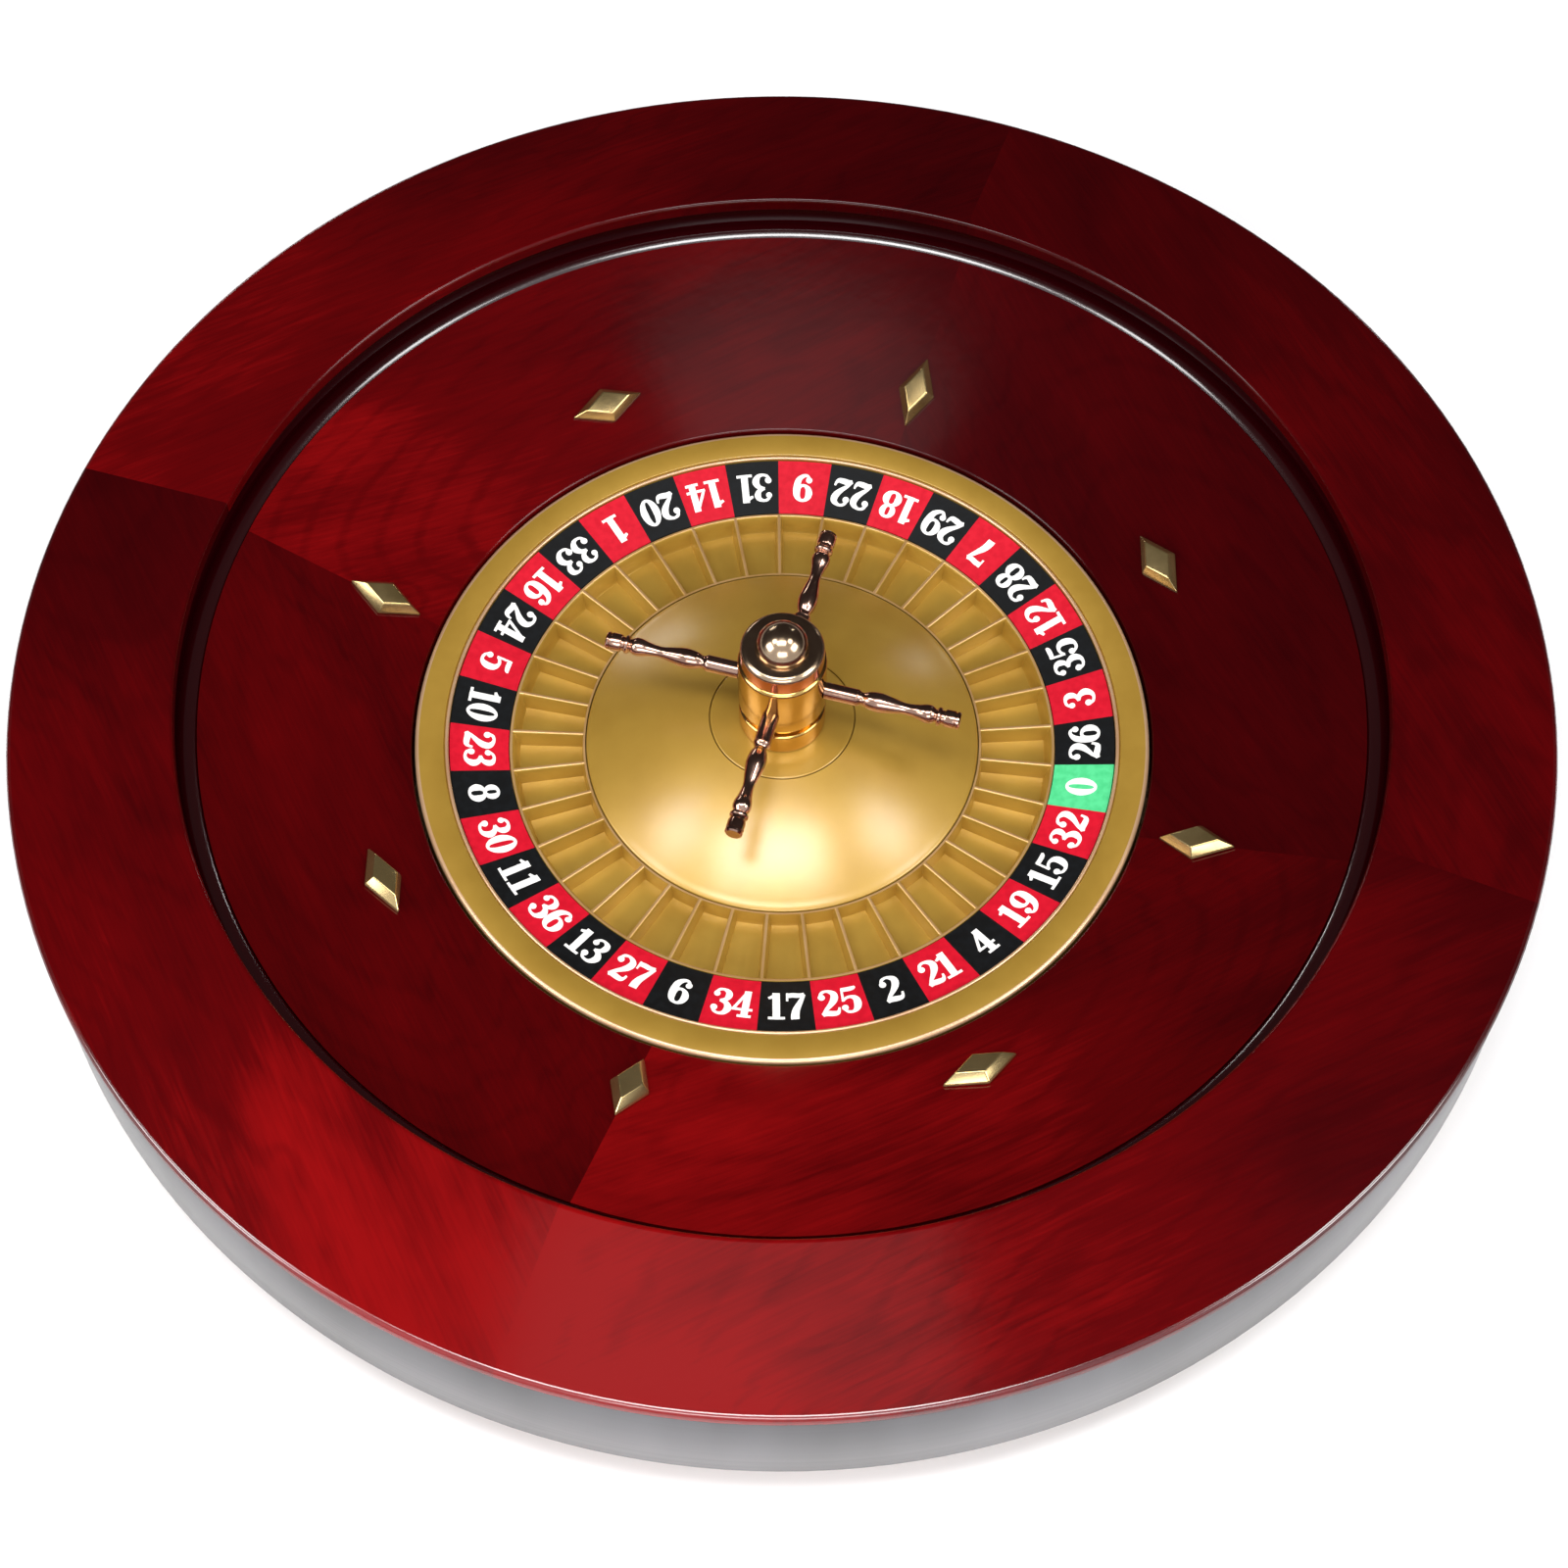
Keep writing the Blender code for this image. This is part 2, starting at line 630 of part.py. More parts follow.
def make_deflectors():
    """Brass diamonds that scatter the ball, along the slope and across it in turn.

    The apron is hollow sideways, so a flat foot is lifted to clear it at the diamond's tips.
    """
    tip_circle = hypot(deflector_circle, DEFLECTOR_LENGTH / 2)
    foot = GAP + (tip_circle - deflector_circle) * sin(apron_slope)
    pin = rod_cutter(
        "deflector_pin",
        DEFLECTOR_PIN_RADIUS,
        GAP - DEFLECTOR_PIN_LENGTH,
        foot + DEFLECTOR_HEIGHT / 2,
        [(0, 0, 0)],
    )
    size = (DEFLECTOR_LENGTH, DEFLECTOR_WIDTH, DEFLECTOR_HEIGHT, DEFLECTOR_TOP_SHARE)
    places = around(DEFLECTOR_COUNT, deflector_circle, DEFLECTOR_ANGLE)
    for i, (_, _, angle) in enumerate(places):
        name = f"deflector_{i + 1}"
        obj = new_object(name, lozenge(name, *size, foot), BRASS)
        boolean(obj, pin, "UNION")
        frozen(obj)
        across = Matrix.Rotation(pi / 2, 4, "Z") if i % 2 == 0 else Matrix.Identity(4)
        obj.parent = BOWL
        obj.matrix_local = slope_frame(angle, deflector_circle) @ across


def make_bearing_housing():
    """Flanged sleeve in the base board, with a shoulder between its two bearing seats."""
    profile = [
        (housing_radius, housing_top),
        (housing_radius, base_top),
        (housing_flange_radius, base_top),
        (housing_flange_radius, housing_bottom),
        (seat_radius, housing_bottom),
        (seat_radius, shoulder_bottom),
        (retainer_radius, shoulder_bottom),
        (retainer_radius, shoulder_top),
        (seat_radius, shoulder_top),
        (seat_radius, housing_top),
    ]
    housing = place(turned("bearing_housing", profile, ALUMINIUM, HUB_STEPS), BOWL)
    places = around(SCREW_COUNT, housing_screw_circle)
    hole = HOUSING_SCREW[0] + GAP
    below, above = housing_bottom - GAP, base_top + GAP
    boolean(housing, rod_cutter("housing_holes", hole, below, above, places))
    seat = base_top + GAP
    shank = seat - (base_top - HOUSING_RECESS - HOUSING_SCREW_BITE)
    for i, (x, y, _) in enumerate(places):
        screw = make_screw(f"housing_screw_{i + 1}", HOUSING_SCREW, shank)
        place(screw, BOWL, (x, y, seat))


# ================================================================ bearings
def make_bearing(name, bottom, cage_frame):
    """Two grooved rings, and a cage with its balls between them."""
    middle = bottom + BEARING_WIDTH / 2
    half = BEARING_WIDTH / 2
    outer, bore = BEARING_DIAMETER / 2, BEARING_BORE / 2
    pitch = (outer + bore) / 2
    groove = BALL_RADIUS + GAP
    narrow, wide = BALL_RADIUS * 0.4, BALL_RADIUS * 0.93
    outer_profile = [
        (outer, half),
        (outer, -half),
        (outer - RING_WALL, -half),
        (outer - RING_WALL, -wide),
        (pitch + groove, -narrow),
        (pitch + groove, narrow),
        (outer - RING_WALL, wide),
        (outer - RING_WALL, half),
    ]
    inner_profile = [
        (bore + RING_WALL, half),
        (bore + RING_WALL, wide),
        (pitch - groove, narrow),
        (pitch - groove, -narrow),
        (bore + RING_WALL, -wide),
        (bore + RING_WALL, -half),
        (bore, -half),
        (bore, half),
    ]
    outer_ring = turned(f"{name}_bearing_outer_ring", outer_profile, BEARING_STEEL, HUB_STEPS)
    inner_ring = turned(f"{name}_bearing_inner_ring", inner_profile, BEARING_STEEL, HUB_STEPS)
    place(outer_ring, BOWL, (0, 0, middle))
    place(inner_ring, ROTOR, (0, 0, middle))
    cage_profile = tube_profile(
        pitch + CAGE_THICKNESS / 2,
        pitch - CAGE_THICKNESS / 2,
        -CAGE_HEIGHT / 2,
        CAGE_HEIGHT / 2,
    )
    cage = turned(f"{name}_bearing_cage", cage_profile, BRASS, HUB_STEPS)
    shape = bmesh.new()
    for x, y, _ in around(BALL_COUNT, pitch):
        spot = Matrix.Translation((x, y, 0))
        bmesh.ops.create_uvsphere(
            shape,
            u_segments=BALL_STEPS,
            v_segments=BALL_STEPS,
            radius=BALL_RADIUS,
            matrix=spot,
        )
    mesh = bpy.data.meshes.new(f"{name}_balls")
    shape.to_mesh(mesh)
    shape.free()
    boolean(cage, new_object(f"{name}_balls", mesh, None), "UNION")
    place(frozen(cage), cage_frame, (0, 0, middle))


def make_bearing_spacer():
    """Sleeve that keeps the two inner rings apart."""
    inner = BEARING_BORE / 2
    bottom = lower_bearing + BEARING_WIDTH + GAP
    top = upper_bearing - GAP
    profile = tube_profile(inner + RING_WALL - GAP, inner, bottom, top)
    place(turned("bearing_spacer", profile, ZINC, HUB_STEPS), ROTOR)


# ================================================================ rotor
def make_spindle():
    """The turned shaft: stud for the turret, flange for the pan, journal for the bearings."""
    clip_top = lower_bearing - GAP
    clip_bottom = clip_top - CIRCLIP_THICKNESS
    groove = journal_radius - GROOVE_DEPTH
    tail = clip_bottom - GAP - SPINDLE_TAIL
    profile = [
        (0, stud_top),
        (STUD_RADIUS, stud_top),
        (STUD_RADIUS, pan_top),
        (PILOT_RADIUS, pan_top),
        (PILOT_RADIUS, flange_top),
        (FLANGE_RADIUS, flange_top),
        (FLANGE_RADIUS, flange_bottom),
        (COLLAR_RADIUS, flange_bottom),
        (COLLAR_RADIUS, housing_top + GAP),
        (journal_radius, housing_top + GAP),
        (journal_radius, clip_top + GAP / 2),
        (groove, clip_top + GAP / 2),
        (groove, clip_bottom - GAP),
        (journal_radius, clip_bottom - GAP),
        (journal_radius, tail),
        (0, tail),
    ]
    spindle = turned("spindle", profile, ZINC, HUB_STEPS, closed=False)
    place(spindle, ROTOR)
    places = around(SCREW_COUNT, ROTOR_SCREW_CIRCLE)
    hole = ROTOR_SCREW[0] + GAP
    below, above = flange_bottom - GAP, flange_top + GAP
    boolean(spindle, rod_cutter("flange_holes", hole, below, above, places))
    ring_outer = CIRCLIP_RADIUS
    clip_profile = tube_profile(ring_outer, groove + GAP, clip_bottom, clip_top)
    clip = place(turned("circlip", clip_profile, ZINC, HUB_STEPS), ROTOR)
    shape = bmesh.new()
    size = (ring_outer, CIRCLIP_OPENING, 3 * CIRCLIP_THICKNESS)
    middle = Matrix.Translation((ring_outer, 0, (clip_bottom + clip_top) / 2))
    bmesh.ops.create_cube(shape, size=1, matrix=middle @ Matrix.Diagonal((*size, 1)))
    mesh = bpy.data.meshes.new("circlip_opening")
    shape.to_mesh(mesh)
    shape.free()
    boolean(clip, new_object("circlip_opening", mesh, None))


def make_pan():
    """The turned pan that carries the rotor's rings, bolted on the spindle's flange."""
    hub_outer = PAN_HUB_RADIUS + PAN_HUB_WALL
    pan_radius = rotor_radius - PAN_SETBACK
    profile = [
        (hub_outer, pan_top),
        (hub_outer, pan_floor),
        (pan_radius, pan_floor),
        (pan_radius, pan_bottom),
        (PAN_HUB_RADIUS, pan_bottom),
        (PAN_HUB_RADIUS, pan_top_bottom),
        (PILOT_RADIUS + GAP, pan_top_bottom),
        (PILOT_RADIUS + GAP, pan_top),
    ]
    pan = place(turned("rotor_pan", profile, ALUMINIUM, ROTOR_STEPS), ROTOR)
    places = around(SCREW_COUNT, ROTOR_SCREW_CIRCLE)
    hole = ROTOR_SCREW[0] + GAP
    below, above = pan_top_bottom - GAP, pan_top + GAP
    boolean(pan, rod_cutter("pan_holes", hole, below, above, places))
    shank = screw_seat - (flange_top - ROTOR_SCREW_BITE)
    for i, (x, y, _) in enumerate(places):
        screw = make_screw(f"rotor_screw_{i + 1}", ROTOR_SCREW, shank)
        place(screw, ROTOR, (x, y, screw_seat))


def make_rotor_rim():
    """The raised outer ring of the rotor."""
    rounding = ROTOR_RIM_ROUNDING
    centre = (rotor_radius - rounding, rotor_top - rounding)
    profile = [
        *arc(centre, rounding, 90, 0, 2),
        (rotor_radius, rotor_seat),
        (rotor_rim_inner, rotor_seat),
        (rotor_rim_inner, numbers_top_outer + GAP),
        (rotor_rim_inner + ROTOR_RIM_STEP / 2, rotor_top),
    ]
    place(turned("rotor_rim", profile, SATIN_BRASS, ROTOR_STEPS), ROTOR)


def make_number_ring():
    """The sloping ring that the numbers are printed on, and the wooden ring under it."""
    under_outer = numbers_top_outer - NUMBER_RING_THICKNESS
    under_inner = pocket_rim_top - NUMBER_RING_THICKNESS
    plate = [
        (numbers_outer, numbers_top_outer),
        (numbers_outer, under_outer),
        (numbers_inner, under_inner),
        (numbers_inner, pocket_rim_top),
    ]
    core = [
        (numbers_outer, under_outer - GAP),
        (numbers_outer, rotor_seat),
        (numbers_inner, rotor_seat),
        (numbers_inner, under_inner - GAP),
    ]
    place(turned("number_ring", plate, ENAMEL, ROTOR_STEPS), ROTOR)
    place(turned("number_ring_core", core, PLAIN_BOARD, ROTOR_STEPS), ROTOR)


def pocket_cutters():
    """One wedge for each pocket: its sides stay half a fret from the lines between pockets."""
    shape = bmesh.new()
    half_turn = pi / POCKET_COUNT
    half_fret = FRET_THICKNESS / 2
    near = pocket_inner + POCKET_WALL
    above = pocket_rim_top + POCKET_DEPTH
    for _, _, angle in around(POCKET_COUNT, 1, ZERO_POCKET_ANGLE):
        made = bmesh.ops.create_cube(shape, size=2)
        for vertex in made["verts"]:
            outwards, side, up = vertex.co
            height = pocket_floor if up < 0 else above
            lean = POCKET_WALL_LEAN * (pocket_rim_top - height) / POCKET_DEPTH
            radius = near if outwards < 0 else pocket_outer - POCKET_WALL - lean
            width = (radius * sin(half_turn) - half_fret) / cos(half_turn)
            vertex.co = Matrix.Rotation(angle, 3, "Z") @ Vector((radius, side * width, height))
    mesh = bpy.data.meshes.new("pockets")
    shape.to_mesh(mesh)
    shape.free()
    return new_object("pockets", mesh, None)


def make_pocket_ring():
    """The metal ring of pockets, cast in one with the frets between them."""
    profile = [
        (pocket_outer, pocket_rim_top),
        (pocket_outer, rotor_seat),
        (CONE_RADIUS - CONE_SEAT_WIDTH, rotor_seat),
        (CONE_RADIUS - CONE_SEAT_WIDTH, cone_seat - GAP),
        (pocket_inner, cone_seat - GAP),
        (pocket_inner, fret_inner_top),
    ]
    ring = turned("pocket_ring", profile, SATIN_BRASS, ROTOR_STEPS)
    place(ring, ROTOR)
    boolean(ring, pocket_cutters())


def make_cone():
    """The domed cover inside the pockets, and the round plate that clamps its middle."""
    seat_radius_outer = CONE_PLATE_RADIUS + GAP
    hub_edge = PAN_HUB_RADIUS + PAN_HUB_WALL + GAP
    steps = ARC_STEPS
    first, last = CONE_RADIUS, seat_radius_outer
    radii = [first + (last - first) * i / steps for i in range(steps + 1)]
    top = [(radius, cone_top(radius)) for radius in reversed(radii)]
    under = [(radius, cone_top(radius) - CONE_THICKNESS) for radius in radii[:-1]]
    profile = [
        *top,
        *under,
        (hub_edge, screw_seat),
        (CONE_OPENING_RADIUS, screw_seat),
        (CONE_OPENING_RADIUS, plate_bottom - GAP),
        (seat_radius_outer, plate_bottom - GAP),
    ]
    place(turned("cone", profile, SATIN_BRASS, ROTOR_STEPS), ROTOR)
    bore = STUD_RADIUS + GAP
    plate = [
        (TURRET_BASE_RADIUS, plate_top),
        (CONE_PLATE_RADIUS, plate_edge),
        (CONE_PLATE_RADIUS, plate_bottom),
        (bore, plate_bottom),
        (bore, plate_top),
    ]
    place(turned("cone_plate", plate, SATIN_BRASS, ROTOR_STEPS), ROTOR)


# ================================================================ turret
def make_turret_base():
    bore = STUD_RADIUS + GAP
    bevel = TURRET_BASE_HEIGHT / 10
    profile = [
        (TURRET_NECK_RADIUS, hub_bottom - GAP),
        (TURRET_NECK_RADIUS, turret_neck_bottom),
        (TURRET_BASE_RADIUS - bevel, turret_neck_bottom),
        (TURRET_BASE_RADIUS, turret_neck_bottom - bevel),
        (TURRET_BASE_RADIUS, turret_base_bottom),
        (bore, turret_base_bottom),
        (bore, hub_bottom - GAP),
    ]
    place(turned("turret_base", profile, BRASS, HUB_STEPS), ROTOR)


def make_turret_hub():
    """The drum that the four arms screw into."""
    bore = STUD_RADIUS + GAP
    profile = [
        (HUB_RADIUS - HUB_BEVEL, hub_top),
        (HUB_RADIUS, hub_top - HUB_BEVEL),
        (HUB_RADIUS, hub_bottom + HUB_BEVEL),
        (HUB_RADIUS - HUB_BEVEL, hub_bottom),
        (bore, hub_bottom),
        (bore, hub_top),
    ]
    hub = place(turned("turret_hub", profile, BRASS, HUB_STEPS), ROTOR)
    deep = ARM_TENON_LENGTH + 2 * GAP
    shape = bmesh.new()
    for x, y, angle in around(ARM_COUNT, HUB_RADIUS, ARM_ANGLE):
        lie = Matrix.Rotation(angle, 4, "Z") @ Matrix.Rotation(pi / 2, 4, "Y")
        bmesh.ops.create_cone(
            shape,
            cap_ends=True,
            segments=ARM_STEPS,
            radius1=ARM_TENON_RADIUS + GAP,
            radius2=ARM_TENON_RADIUS + GAP,
            depth=2 * deep,
            matrix=Matrix.Translation((x, y, arm_height)) @ lie,
        )
    mesh = bpy.data.meshes.new("arm_holes")
    shape.to_mesh(mesh)
    shape.free()
    boolean(hub, new_object("arm_holes", mesh, None))


def make_turret_cap():
    bore = STUD_RADIUS + GAP
    bevel = CAP_HEIGHT / 5
    profile = [
        (CAP_RADIUS - bevel, cap_top),
        (CAP_RADIUS, cap_top - bevel),
        (CAP_RADIUS, cap_bottom + bevel),
        (CAP_RADIUS - bevel, cap_bottom),
        (bore, cap_bottom),
        (bore, cap_top),
    ]
    place(turned("turret_cap", profile, BRASS, HUB_STEPS), ROTOR)


def make_turret_knob():
    """The ball on top, screwed down on the stud. It clamps the whole turret."""
    centre = knob_bottom + KNOB_CENTRE
    flat = sqrt(KNOB_RADIUS**2 - KNOB_CENTRE**2)
    lowest = -atan2(KNOB_CENTRE, flat) * 180 / pi
    ball = arc((0, centre), KNOB_RADIUS, 90, lowest, ARC_STEPS + 2)
    ball[0] = (0, centre + KNOB_RADIUS)
    bore = STUD_RADIUS + GAP
    socket = stud_top + GAP
    profile = [*ball, (bore, knob_bottom), (bore, socket), (0, socket)]
    place(turned("turret_knob", profile, BRASS, HUB_STEPS, closed=False), ROTOR)


def make_arms():
    """Four turned arms, each on a tenon in the hub."""
    face = HUB_RADIUS + GAP
    first_radius = ARM_TURNINGS[0][1]
    tip, tip_radius = ARM_TURNINGS[-1]
    profile = [
        (0, face + tip + ARM_TIP_BEVEL),
        (tip_radius - ARM_TIP_BEVEL, face + tip + ARM_TIP_BEVEL),
        *[(radius, face + out) for out, radius in reversed(ARM_TURNINGS)],
        (first_radius, face),
        (ARM_TENON_RADIUS, face),
        (ARM_TENON_RADIUS, HUB_RADIUS - ARM_TENON_LENGTH),
        (0, HUB_RADIUS - ARM_TENON_LENGTH),
    ]
    for i, (_, _, angle) in enumerate(around(ARM_COUNT, 1, ARM_ANGLE)):
        arm = turned(f"arm_{i + 1}", profile, BRASS, ARM_STEPS, closed=False)
        place(arm, ROTOR, (0, 0, arm_height))
        arm.rotation_euler = (0, pi / 2, angle)


make_rim_ring()
make_ball_track_ring()
make_apron()
make_bowl_wall()
make_side_band()
make_apron_support_ring()
make_base_board()
make_feet()
make_deflectors()
make_bearing_housing()
make_bearing("upper", upper_bearing, UPPER_CAGE)
make_bearing("lower", lower_bearing, LOWER_CAGE)
make_bearing_spacer()
make_spindle()
make_pan()
make_rotor_rim()
make_number_ring()
make_pocket_ring()
make_cone()
make_turret_base()
make_turret_hub()
make_turret_cap()
make_turret_knob()
make_arms()
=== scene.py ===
# %% [markdown]
# # A home-size roulette wheel
# A roulette wheel is a wooden bowl with a metal rotor spinning in it on two ball bearings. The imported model
# fixes where every part is. This lesson keeps that frame, builds finer meshes over the parts that show, and
# gives each of them a finish made of shader nodes.

# %% Load the fixed frame
import json
from math import asin, atan2, cos, degrees, floor, hypot, pi, radians, sin

import bmesh
import bpy
from mathutils import Matrix, Vector

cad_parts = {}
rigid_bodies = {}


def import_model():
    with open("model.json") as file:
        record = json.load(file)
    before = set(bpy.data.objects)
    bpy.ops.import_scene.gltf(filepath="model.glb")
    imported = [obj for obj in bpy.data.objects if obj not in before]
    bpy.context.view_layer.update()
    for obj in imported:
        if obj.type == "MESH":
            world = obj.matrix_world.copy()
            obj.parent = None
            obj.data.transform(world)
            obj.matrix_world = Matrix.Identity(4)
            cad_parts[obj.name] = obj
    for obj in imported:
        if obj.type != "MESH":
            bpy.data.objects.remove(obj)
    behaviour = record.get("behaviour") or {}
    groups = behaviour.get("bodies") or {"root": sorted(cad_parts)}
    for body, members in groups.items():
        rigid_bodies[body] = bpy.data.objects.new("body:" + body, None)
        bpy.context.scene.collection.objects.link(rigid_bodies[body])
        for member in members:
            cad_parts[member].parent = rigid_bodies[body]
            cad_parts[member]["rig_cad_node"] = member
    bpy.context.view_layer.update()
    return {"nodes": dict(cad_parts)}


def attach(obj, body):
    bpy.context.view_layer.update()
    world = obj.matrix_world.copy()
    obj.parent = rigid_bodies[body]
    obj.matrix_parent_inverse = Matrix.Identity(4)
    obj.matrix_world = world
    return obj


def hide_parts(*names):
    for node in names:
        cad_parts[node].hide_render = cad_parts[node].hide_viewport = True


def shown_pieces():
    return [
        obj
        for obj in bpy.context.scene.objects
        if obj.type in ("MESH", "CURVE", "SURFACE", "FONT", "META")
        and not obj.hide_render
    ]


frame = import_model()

MM = 0.001

# %% [markdown]
# ## Small tools for the finishes
# Colours are hex codes, as a paint chart gives them. Those are sRGB, and a shader wants linear light, so
# one function converts them. Another adds any shader node, and the rest are short ways to write what every
# finish needs: a colour ramp, sums, noise, relief, and a gloss that changes from place to place.


# %% Colour and node helpers
def linear(code, alpha=1.0):
    """sRGB hex to linear colour."""
    parts = [int(code[i:i + 2], 16) / 255 for i in (1, 3, 5)]
    return (*[p / 12.92 if p < 0.04045 else ((p + 0.055) / 1.055) ** 2.4 for p in parts], alpha)


def add(tree, kind, sockets=None, **settings):
    """Adds a node. Sockets take a value, or the output of another node."""
    node = tree.nodes.new("ShaderNode" + kind)
    for name, value in settings.items():
        setattr(node, name, value)
    for name, value in (sockets or {}).items():
        if isinstance(value, bpy.types.NodeSocket):
            tree.links.new(value, node.inputs[name])
        else:
            node.inputs[name].default_value = value
    return node


def tint(tree, amount, socket, *marks):
    """Colours a socket by an amount, through a ramp of (place, hex) stops."""
    ramp = add(tree, "ValToRGB", {"Fac": amount})
    band = ramp.color_ramp
    while len(band.elements) < len(marks):
        band.elements.new(0.5)
    for element, (place, code) in zip(band.elements, marks):
        element.position = place
        element.color = linear(code)
    tree.links.new(ramp.outputs["Color"], socket)


def finish(name, **sockets):
    """A new material, with values set on its main shader's own sockets."""
    made = bpy.data.materials.new(name)
    made.use_nodes = True
    tree = made.node_tree
    shader = tree.nodes["Principled BSDF"]
    for label, value in sockets.items():
        shader.inputs[label.replace("_", " ")].default_value = value
    return made, tree, shader


def maths(tree, operation, *values):
    """A math node's result. Values are numbers or outputs."""
    return add(tree, "Math", dict(enumerate(values)), operation=operation).outputs[0]


def noise(tree, place, scale, detail=2.0, roughness=0.5):
    """Noise of so many cells per metre: one number, or one for each axis."""
    if isinstance(scale, tuple):
        place = add(tree, "Mapping", {"Vector": place, "Scale": scale}).outputs[0]
        scale = 1
    sockets = {"Vector": place, "Scale": scale, "Detail": detail, "Roughness": roughness}
    return add(tree, "TexNoise", sockets).outputs["Fac"]


def relieve(tree, shader, height, strength, distance, socket="Normal"):
    """Bump from a height, on the base or on the coat."""
    bump = add(tree, "Bump", {"Height": height, "Strength": strength, "Distance": distance})
    tree.links.new(bump.outputs[0], shader.inputs[socket])


def vary_gloss(tree, shader, amount, low, high):
    """Roughness that goes from low to high as the amount goes from 0 to 1."""
    rough = add(tree, "MapRange", {"Value": amount, 3: low, 4: high})
    tree.links.new(rough.outputs[0], shader.inputs["Roughness"])


print("white paint in linear light:", [round(c, 3) for c in linear("#F2F2F0")])

# %% [markdown]
# ## Mahogany veneer under clear lacquer
# The bowl is faced with four sheets of mahogany veneer, stained dark red and sprayed with clear gloss
# lacquer. Flat-sawn veneer is a slice through a log's growth rings. So the rings here are measured from a
# log's axis that dips slowly through the sheet: where it comes near the surface they close into arches, and
# elsewhere they run as long stripes.


# %% The veneer's finish
RING_SPACING = 4.5 * MM
LOG_DEPTH = 16 * MM
LOG_DIP = 0.09
RING_WANDER = 34 * MM


def make_veneer(name, coat, coat_roughness, coat_ior, dark, middle, light, bright):
    """Stained veneer: growth rings, fine pores and slow patches, under a coat of lacquer."""
    # Lacquer is a thin clear coat with the IOR of resin. It fills the wood, which has no gloss of its own.
    made, tree, shader = finish(
        name, Roughness=0.6, Specular_IOR_Level=0.0,
        Coat_Weight=coat, Coat_Roughness=coat_roughness, Coat_IOR=coat_ior,
    )
    sheet = add(tree, "Attribute", attribute_name="sheet").outputs["Vector"]
    tone = add(tree, "Attribute", attribute_name="leaf_tone").outputs["Fac"]
    # Slow wander of the rings: about 60 mm along the grain and 20 mm across it.
    wander = noise(tree, sheet, (16, 48, 16), detail=3)
    place = add(tree, "SeparateXYZ", {"Vector": sheet})
    across = maths(tree, "ADD", place.outputs["Y"], maths(tree, "MULTIPLY", wander, RING_WANDER))
    depth = maths(tree, "MULTIPLY_ADD", place.outputs["X"], LOG_DIP, LOG_DEPTH)
    slant = maths(tree, "ADD", depth, place.outputs["Z"])
    flat = add(tree, "CombineXYZ", {"X": across, "Y": slant})
    radius = add(tree, "VectorMath", {0: flat.outputs[0]}, operation="LENGTH").outputs["Value"]
    wave = maths(tree, "SINE", maths(tree, "MULTIPLY", radius, 2 * pi / RING_SPACING))
    # A growth ring is a slow rise and a sharp dark line of late wood.
    late = add(tree, "MapRange", {"Value": wave, 1: 0.45, 2: 1.0, 3: 0.0, 4: 1.0}).outputs[0]
    # Pores: streaks about 1 mm wide and 30 mm long.
    pores = noise(tree, sheet, (34, 900, 200), detail=4, roughness=0.65)
    # Patches where the fibres tilt, so that they give back more or less light.
    patches = noise(tree, sheet, (9, 26, 9), detail=4, roughness=0.6)
    # Specks break up the late wood, and each layer adds its share to the sheet's tone.
    specks = noise(tree, sheet, (60, 140, 60), detail=2)
    level = tone
    for layer, share in ((patches, 0.8), (pores, 0.3), (maths(tree, "MULTIPLY", specks, late), -0.1)):
        level = maths(tree, "MULTIPLY_ADD", layer, share, level)
    level = add(tree, "MapRange", {"Value": level, 1: 0.0, 2: 1.0, 3: 0.0, 4: 1.0}).outputs[0]
    tones = ((0.0, dark), (0.4, middle), (0.7, light), (1.0, bright))
    tint(tree, level, shader.inputs["Base Color"], *tones)
    # Lacquer never dries quite flat. Its ripple is about 4 mm from crest to crest.
    spot = add(tree, "TexCoord").outputs["Object"]
    relieve(tree, shader, noise(tree, spot, 240, 1), 0.06, 0.2 * MM, "Coat Normal")
    relieve(tree, shader, pores, 0.15, 0.1 * MM)
    return made


WOOD_COLOURS = ("#200002", "#380103", "#500204", "#7C0709")
VENEER = make_veneer("lacquered_mahogany_veneer", 0.5, 0.12, 1.5, *WOOD_COLOURS)
# The hollow of the ball track is rubbed down, so that the ball doesn't skid on gloss.
TRACK_WOOD = make_veneer("rubbed_mahogany_track", 0.1, 0.2, 1.5, *WOOD_COLOURS)
# Lacquer gathers on a rounded edge. Several coats of it there shine like glass.
EDGE_WOOD = make_veneer("thickly_lacquered_mahogany_edge", 1.0, 0.16, 1.9, *WOOD_COLOURS)
print("veneer ring spacing, mm:", RING_SPACING / MM)

# %% [markdown]
# ## Brass, spun and polished
# The rotor is brass, etched to a satin surface and lacquered against fingerprints. The turret is polished
# and left bare, and the diamonds are polished under a thin lacquer. A polished metal has no colour but its
# reflection's, while an etched one also scatters light as paint does, so a satin part mixes the two.


